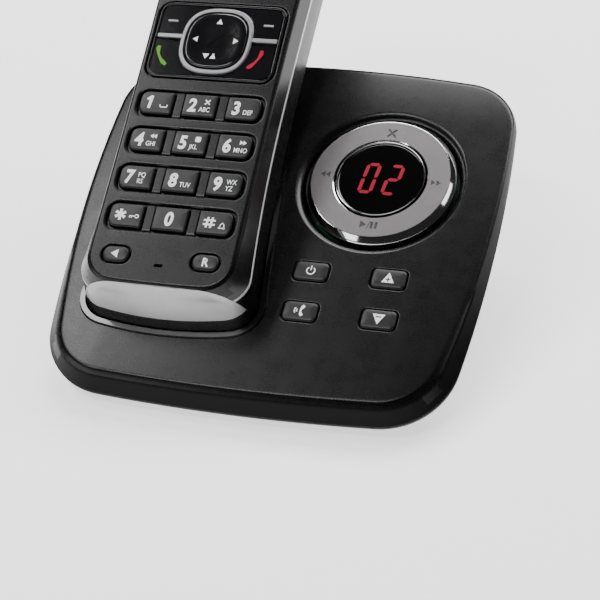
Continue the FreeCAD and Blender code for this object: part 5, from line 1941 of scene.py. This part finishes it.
@dataclass
class NavigationCluster:
    """The glossy panel with the four corner keys, the silver frame and the rocking middle key."""

    middle: float = 38.6
    width: float = 38.0
    height: float = 24.6
    corner: float = 3.5
    floor: float = -1.5
    rim_top: float = -0.22
    rim: float = 0.75
    slot: float = 0.3
    frame_outer: float = 10.7
    frame_inner: float = 9.4
    key_half: float = 9.0
    wing_y: float = 1.0
    wing_height: float = 1.3
    power: float = 2.7

    def seat(self) -> Matrix:
        """Frame in the middle of the panel."""
        return PLACES.handset() @ Matrix.Translation((0, self.middle, 0))

    def panel(self) -> Form:
        """The shallow dish that the keys lie in."""
        outer = Patch.centred(0, 0, self.width, self.height, self.corner)
        plate = cap(outer, -1.9, self.rim_top, 0.22, 1.0, 0.0, 10)
        well = outer.inset(self.rim)
        plate = shaped(plate, opening(well, self.floor, self.rim_top, 0.18, 10))
        hole = squircle(self.frame_inner + 0.1, self.power)
        return shaped(plate, skin([at(hole, -4), at(hole, 3)]))

    def frame(self) -> Form:
        """The silver frame with its two wings."""
        outer = squircle(self.frame_outer, self.power, 96)
        ring = domed(outer, self.floor, 0.02, [(0.12, 0.14), (0.16, 0.08), (0.2, 0.03)])
        top = 0.27
        half = self.wing_height / 2
        for side in (-1, 1):
            inner, outer_x = side * (self.frame_inner + 0.5), side * (self.width / 2 - self.rim - 0.1)
            left, right = min(inner, outer_x), max(inner, outer_x)
            wing = cap(Patch(left, self.wing_y - half, right, self.wing_y + half, (0.4,) * 4), self.floor
                       + 0.05, 0.12, 0.25)
            ring = shaped(ring, wing, Cut.JOIN)
        sections = [(-3.0, 0.0), (0.0, 0.0), (top - 0.1, 0.08), (top + 0.02, 0.25), (top + 1.0, 0.5)]
        hole = [at(squircle(self.frame_inner + widen, self.power, 96), level) for level, widen in sections]
        return shaped(ring, skin(hole))

    def corner_key(self, across: int, along: int) -> Form:
        """One of the four keys that fill the panel's corners round the frame.

        Args:
            across: Side of the panel, minus one or one.
            along: Lower or upper, minus one or one.

        Returns:
            The key.
        """
        outer_x = self.width / 2 - self.rim - self.slot
        outer_y = self.height / 2 - self.rim - self.slot
        inner_y = abs(self.wing_y * along + self.wing_height / 2 + 0.25)
        inner_x = 4.6
        radius = self.corner - self.rim - self.slot
        centre = Vector((outer_x - radius, outer_y - radius))
        outline = [Vector((inner_x, outer_y))]
        outline += [centre + radius * Vector((math.sin(a), math.cos(a))) for a in
                    (math.pi / 2 * step / 8 for step in range(9))]
        outline.append(Vector((outer_x, inner_y)))
        ring = squircle(self.frame_outer + 0.28, self.power, 144)
        follow = [point for point in ring if point.x > inner_x and point.y > inner_y]
        outline += sorted(follow, key=lambda point: math.atan2(point.y, point.x))
        placed = [Vector((point.x * across, point.y * along)) for point in outline]
        return domed(placed, -0.85, -0.36, [(0.1, 0.12), (0.16, 0.1), (0.25, 0.06)])

    def middle_key(self) -> Form:
        """The rocking key, slightly hollow on top."""
        outline = squircle(self.key_half, self.power, 96)
        form = domed(outline, -2.6, 0.12,
                     [(0.14, 0.24), (0.2, 0.15), (0.35, 0.09), (1.6, -0.07), (2.0, -0.09), (2.2, -0.06)])
        return form

    def marks(self) -> dict[str, tuple[Form, str]]:
        """Coloured and white marks by the body that carries them."""
        low, high = -0.3, -0.03
        talk = stroke([(-16.55, -2.55), (-16.75, -3.5), (-16.35, -5.0), (-15.5, -6.5), (-14.4, -7.75),
                       (-13.3, -8.55)],
                      [0.9, 1.25, 0.72, 0.72, 1.25, 0.9], low, high)
        end = stroke([(14.3, -2.2), (14.35, -3.2), (13.9, -4.7), (13.1, -6.1), (12.0, -7.4), (11.1, -8.1)],
                     [0.9, 1.25, 0.72, 0.72, 1.25, 0.9], low, high)
        soft = {
            side: stroke([(side * 15.9, 6.0), (side * 13.0, 6.0)], [0.5], low, high) for side in (-1, 1)
        }
        top_low, top_high = 0.25, 0.57
        down = wedge([(-2.7, -4.6), (-1.75, -6.2), (-0.8, -4.6)], top_low, top_high)
        page = wedge([(-0.4, -6.1), (1.3, -6.1), (0.95, -5.2), (0.75, -5.2), (0.75, -4.5), (0.2, -4.5),
                      (0.2, -5.2),
                      (0.0, -5.2)], top_low, top_high)
        up = wedge([(-0.9, 5.3), (0.9, 5.3), (0.0, 6.9)], top_low, top_high)
        sides = [wedge([(side * 6.9, 0.0), (side * 5.4, -0.9), (side * 5.4, 0.9)], top_low, top_high)
                 for side in (-1, 1)]
        return {
            "talk_key": (talk, "talk_green"), "end_key": (end, "end_red"),
            "left_soft_key": (soft[-1], "grey_print"), "right_soft_key": (soft[1], "grey_print"),
            "nav_key": (joined([down, page, up] + sides), "white_print"),
        }

    def build(self) -> None:
        """Makes the cluster's pieces."""
        seat = self.seat()
        finished("nav_dish", self.panel(), seat, "handset", ["gloss_black"], ["nav_panel"])
        finished(
            "nav_surround", self.frame(), seat, "handset", ["frame_silver"], ["nav_frame"], 40
        )
        corners = {
            "talk_key": (-1, -1), "end_key": (1, -1), "left_soft_key": (-1, 1), "right_soft_key": (1, 1)
        }
        for name, (across, along) in corners.items():
            finished(name + "_cap", self.corner_key(across, along), seat, name, ["gloss_black"],
                     [name], 50)
        finished("nav_rocker", self.middle_key(), seat, "nav_key", ["gloss_black"],
                 ["nav_key"], 50)
        for name, (form, paint) in self.marks().items():
            slot = "gloss_black" if name == "nav_key" else "key_plastic"
            finished(name + "_mark", form, seat, name, [paint])


@dataclass
class Handset:
    """The handset's shells, chin, trim, display and back."""

    form: HandsetForm
    keys: KeyPad
    cluster: NavigationCluster
    wall: float = 1.8
    beyond: tuple[float, float, float, float] = (-90, 90, -90, 160)
    trim: tuple[float, float] = (7.0, 6.1)
    chin_at: float = 37.3
    chin_depth: float = 11.0
    seam: float = 0.1
    lens: tuple[float, float, float, float] = (71.5, 37.0, 34.0, 3.0)
    ear_y: float = 99.0
    door: tuple[float, float, float] = (29.0, 58.0, 4.0)

    def shell(self) -> Form:
        """The hollow outer form."""
        return shaped(self.form.solid(), self.form.solid(-self.wall))

    def chin_zone(self, grow: float) -> Form:
        """The block in which the chin lies."""
        return block(-60, 60, -120, -self.chin_at + grow, -self.chin_depth - grow, 60)

    def front(self, shell: Form) -> Form:
        """The front half with its openings.

        Args:
            shell: The whole outer form.

        Returns:
            The front half.
        """
        face = -self.form.face_level
        half = shaped(shell, block(*self.beyond, -self.form.parting, 40), Cut.KEEP)
        half = shaped(half, self.chin_zone(self.seam))
        half = shaped(half, self.keys.trays(face))
        half = shaped(half, self.keys.holes())
        cluster = self.cluster
        panel = Patch.centred(
            0, cluster.middle, cluster.width + 0.9, cluster.height + 0.9, cluster.corner + 0.45
        )
        y, width, height, corner = self.lens
        lens = Patch.centred(0, y, width + 0.3, height + 0.3, corner)
        half = shaped(
            half, joined([opening(panel, -1.95, face, 0.45, 10), opening(lens, -1.75, face, 0.35, 10)])
        )
        tools = [
            skin([at(squircle(9.6, cluster.power, 48, 0, cluster.middle), level) for level in (-6, -1)])
        ]
        tools += [opening(Patch.centred(0, self.ear_y + i * 2.8, 9.0 - 2 * abs(i), 1.2, 0.55), -6.0, face,
                          0.3)
                  for i in (-1, 0, 1)]
        tools.append(opening(Patch.centred(0, -31.6, 2.4, 0.9, 0.4), -6.0, face, 0.2))
        half = shaped(half, joined(tools))
        edge = face - 1.1

        half.normal_update()
        return tint(half, 1, lambda f: f.calc_center_median().z < edge and abs(f.normal.z) < 0.75
                    and self.is_flank(f.calc_center_median()))

    def is_flank(self, point: Vector) -> bool:
        """True on the slanting side band of the front half."""
        return abs(point.x) > 20.6 or point.y > self.form.head - 4.5 or point.y < -self.form.foot + 2

    def back(self, shell: Form) -> Form:
        """The back half with its door recess and small openings.

        Args:
            shell: The whole outer form.

        Returns:
            The back half.
        """
        half = shaped(shell, block(*self.beyond, -60, -self.trim[0] - self.seam), Cut.KEEP)
        half = shaped(half, self.chin_zone(self.seam))
        thick = self.form.thick
        width, length, middle = self.door
        door = Patch.centred(0, middle, width + 0.3, length + 0.3, 2.1)
        tools = [moved(opening(door, thick - 1.75, thick, 0.4), Matrix.Rotation(math.pi, 4, "Y"))]
        for side in (-1, 1):
            tools.append(rod(side * 14.0, 100.0, 3.0, -thick - 1, -thick + 3))
            tools.append(rod(side * 8.0, -33.0, 2.62, -thick - 1, -thick + 3))
        for index in range(7):
            radius, angle = (4.5, math.radians(60 * index)) if index < 6 else (0.0, 0.0)
            tools.append(rod(radius * math.cos(angle), 84.0 + radius * math.sin(angle), 0.9, -thick - 1,
                             -thick + 3, 20))
        return shaped(half, joined(tools))

    def trim_line(self) -> Form:
        """The bright line between the two halves."""
        low, high = self.trim
        bar = self.form.middle()
        sections = [at(bar.points(grow), -level) for grow, level in
                    ((0.0, low), (0.15, low - 0.08), (0.2, low - 0.25), (0.2, high + 0.25),
                     (0.15, high + 0.08), (0.0, high))]
        line = skin(sections)
        inner = bar.points(-1.6)
        line = shaped(line, skin([at(inner, -low - 1), at(inner, -high + 1)]))
        return shaped(line, self.chin_zone(self.seam))

    def chin(self, shell: Form) -> Form:
        """The satin black cap over the low end, coloured light silver as a painted highlight."""
        return shaped(shell, self.chin_zone(0.0), Cut.KEEP)

    def battery_door(self) -> Form:
        """The door over the cells, with grip ridges and an arrow."""
        thick = self.form.thick
        width, length, middle = self.door
        turn = Matrix.Rotation(math.pi, 4, "Y")
        door = cap(Patch.centred(0, middle, width, length, 2.0), thick - 1.5, thick, 0.35, 1.0, 0.0, 8)
        grooves = []
        for index in range(7):
            y = middle + length / 2 - 6.0 - 1.7 * index
            grooves.append(opening(Patch.centred(0, y, 15.0 - abs(index - 3) * 1.2, 0.7, 0.3), thick - 0.45,
                                   thick, 0.15, 4))
        y = middle + length / 2 - 21.0
        grooves.append(wedge([(-2.2, y + 1.8), (0.0, y - 1.4), (2.2, y + 1.8)], thick - 0.3, thick + 1))
        return moved(shaped(door, joined(grooves)), turn)

    def display(self) -> Form:
        """The display's glass."""
        y, width, height, corner = self.lens
        return cap(Patch.centred(0, y, width, height, corner), -1.6, -0.32, 0.3, 1.0, 0.0, 10)

    def screen_marks(self) -> Form:
        """Generic marks of the unlit display: signal bars, battery outline and a clock."""
        low, high = -0.34, -0.29
        y = self.lens[0]
        marks = [stroke([(-13.5 + 1.1 * i, y + 9.2), (-13.5 + 1.1 * i, y + 10.0 + 0.55 * i)], [0.6], low,
                        high) for i in range(4)]
        frame_line = [(9.6, y + 9.4), (13.4, y + 9.4), (13.4, y + 11.2), (9.6, y + 11.2), (9.6, y + 9.4)]
        marks.append(stroke(frame_line, [0.25], low, high))
        marks.append(stroke([(10.1, y + 10.3), (12.0, y + 10.3)], [1.1], low, high))
        marks.append(lettering("12:30", 5.0, -7.6, y - 1.5, low, 0.0, 0.95, 0.0, high - low))
        marks += [
            stroke([(x - 3.0, y - 10.0), (x + 3.0, y - 10.0)], [0.45], low, high) for x in (-10.5, 10.5)
        ]
        return joined(marks)

    def case_screws(self) -> Form:
        """Two crossed screws in the back."""
        head = [(0.0, 0.15), (1.9, 0.15), (2.5, 0.35), (2.8, 0.8), (2.8, 1.6), (1.4, 1.6), (1.4, 11.0),
                (0.0, 11.0)]
        pieces = []
        for side in (-1, 1):
            screw = turned(head, 36)
            screw = shaped(screw, block(-1.7, 1.7, -0.35, 0.35, -0.5, 1.0))
            screw = shaped(screw, block(-0.35, 0.35, -1.7, 1.7, -0.5, 1.0))
            pieces.append(moved(screw, Matrix.Translation((side * 14.0, 100.0, -self.form.thick))))
        return joined(pieces)

    def build(self) -> None:
        """Makes the handset's pieces."""
        place = PLACES.handset()
        shell = self.shell()
        front, back, chin = copied(shell), copied(shell), shell
        finished("handset_front", self.front(front), place, "handset", ["satin_black", "side_band"],
                 ["handset_front_shell"], 26)
        finished("handset_back", self.back(back), place, "handset", ["satin_black"],
                 ["handset_back_shell"], 26)
        finished("handset_chin", self.chin(chin), place, "handset", ["chin_painted_highlight"],
                 ["chin_cap"], 26)
        finished(
            "side_line", self.trim_line(), place, "handset", ["trim_silver"], ["handset_trim"], 50
        )
        finished("cell_door", self.battery_door(), place, "handset", ["satin_black"],
                 ["battery_door"], 30)
        finished(
            "display_glass", self.display(), place, "handset", ["screen_glass"], ["display_lens"]
        )
        finished("display_marks", self.screen_marks(), place, "handset", ["dark_parts"])
        finished("back_screws", self.case_screws(), place, "handset", ["steel"], ["case_screws"])


# Pieces kept from the frame, and the studio


@dataclass
class InnerParts:
    """Finishes for the frame's own pieces that stay visible or can be seen through openings."""

    paints: Mapping[str, str] = field(default_factory=lambda: {
        "line_socket": "socket_plastic", "power_socket": "socket_plastic", "base_speaker": "dark_parts",
        "base_circuit_board": "circuit_board", "digit_module": "dark_parts", "button_mat": "silicone",
        "charge_contacts": "gold_contact", "key_mat": "silicone", "display_module": "dark_parts",
        "earpiece": "dark_parts", "microphone": "dark_parts", "ringer": "dark_parts",
        "handset_circuit_board": "circuit_board", "battery_cells": "cell_wrap", "battery_contacts": "steel",
        "charging_pads": "gold_contact", "ring_carrier": "socket_plastic", "nav_carrier": "socket_plastic",
    })

    def build(self) -> None:
        """Dresses the pieces."""
        for name, paint in self.paints.items():
            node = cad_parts[name]
            if not node.material_slots:
                node.data.materials.append(None)
            for slot in node.material_slots:
                slot.material = PAINTS.get(paint)
            LOG.info("%s: dressed as %s", name, paint)


@dataclass
class Softbox:
    """One soft studio light."""

    name: str
    spot: tuple[float, float, float]
    size: tuple[float, float]
    power: float
    aim: tuple[float, float, float] = (0.0, 0.0, 0.03)
    colour: Colour = (1.0, 1.0, 1.0)

    def build(self) -> None:
        """Hangs the light."""
        data = bpy.data.lights.new(self.name, "AREA")
        data.shape = "RECTANGLE"
        data.size, data.size_y = self.size
        data.energy = self.power
        data.color = self.colour
        lamp = bpy.data.objects.new(self.name, data)
        spot = Vector(self.spot)
        turn = (Vector(self.aim) - spot).to_track_quat("-Z", "Y")
        lamp.matrix_world = Matrix.LocRotScale(spot, turn, None)
        bpy.context.scene.collection.objects.link(lamp)


@dataclass
class Studio:
    """Pale floor, soft lights and the camera."""

    eye: tuple[float, float, float] = (0.149528, -0.395227, 0.304807)
    right: tuple[float, float, float] = (0.95105, 0.29168, -0.10213)
    up: tuple[float, float, float] = (-0.10052, 0.60447, 0.79026)
    back: tuple[float, float, float] = (0.29224, -0.74131, 0.60420)
    lens: float = 103.63
    sensor: float = 36.0
    nearest: float = 0.01
    floor_reach: float = 4.0
    sky: float = 0.02
    lights: Sequence[Softbox] = field(default_factory=lambda: (
        Softbox("left_box", (-0.60, 0.09, 1.0), (0.46, 0.27), 4.7, (-0.56, 0.09, 0.0)),
        Softbox("back_box", (0.25, 0.80, 1.0), (1.5, 0.6), 30.0, (0.25, 0.76, 0.0)),
        Softbox("crease_box", (-0.34, -0.46, 1.0), (0.62, 0.20), 5.0, (-0.34, -0.42, 0.0)),
        Softbox("front_box", (-1.0, -0.95, 0.3), (1.2, 0.3), 3.0),
        Softbox("right_box", (1.1, 0.3, 0.6), (0.6, 0.16), 0.8),
    ))

    def floor_material(self) -> bpy.types.Material:
        """White studio paper."""
        desk = Desk("studio_paper")
        fibre = desk.grain(2.5, 4.0)
        colour = desk.blend(fibre, (0.90, 0.90, 0.90), (0.94, 0.94, 0.94))
        return desk.finish(Base_Color=colour, Roughness=0.9 + 0.1 * fibre, Emission_Color=colour,
                           Emission_Strength=1.3, Normal=desk.relief(fibre, 0.02, 0.1))

    def build(self) -> None:
        """Sets up the floor, the lights, the sky and the camera."""
        form = bmesh.new()
        bmesh.ops.create_grid(form, x_segments=8, y_segments=8, size=self.floor_reach)
        mesh = bpy.data.meshes.new("studio_floor")
        form.to_mesh(mesh)
        form.free()
        mesh.materials.append(self.floor_material())
        floor = bpy.data.objects.new("studio_floor", mesh)
        bpy.context.scene.collection.objects.link(floor)
        for light in self.lights:
            light.build()
        world = bpy.data.worlds.new("studio_sky")
        world.use_nodes = True
        world.node_tree.nodes["Background"].inputs["Color"].default_value = (1.0, 1.0, 1.0, 1.0)
        world.node_tree.nodes["Background"].inputs["Strength"].default_value = self.sky
        bpy.context.scene.world = world
        data = bpy.data.cameras.new("camera")
        data.lens = self.lens
        data.sensor_width = self.sensor
        data.clip_start = self.nearest
        camera = bpy.data.objects.new("camera", data)
        columns = zip(self.right, self.up, self.back, self.eye)
        camera.matrix_world = Matrix([list(row) for row in columns] + [[0, 0, 0, 1]])
        bpy.context.scene.collection.objects.link(camera)
        bpy.context.scene.camera = camera


def main() -> None:
    """Builds the studio and then the phone, sub-assembly by sub-assembly."""
    logging.basicConfig(level=logging.INFO, format="%(name)s %(message)s")
    housing = BaseHousing()
    keys = KeyPad()
    cluster = NavigationCluster()
    parts = (
        Studio(), housing, Cradle(), ControlRing(), MessageDisplay(), BaseButtons(housing),
        Handset(HandsetForm(), keys, cluster), keys, cluster, InnerParts(),
    )
    for part in parts:
        LOG.info("building %s", type(part).__name__)
        part.build()


if __name__ == "__main__":
    main()
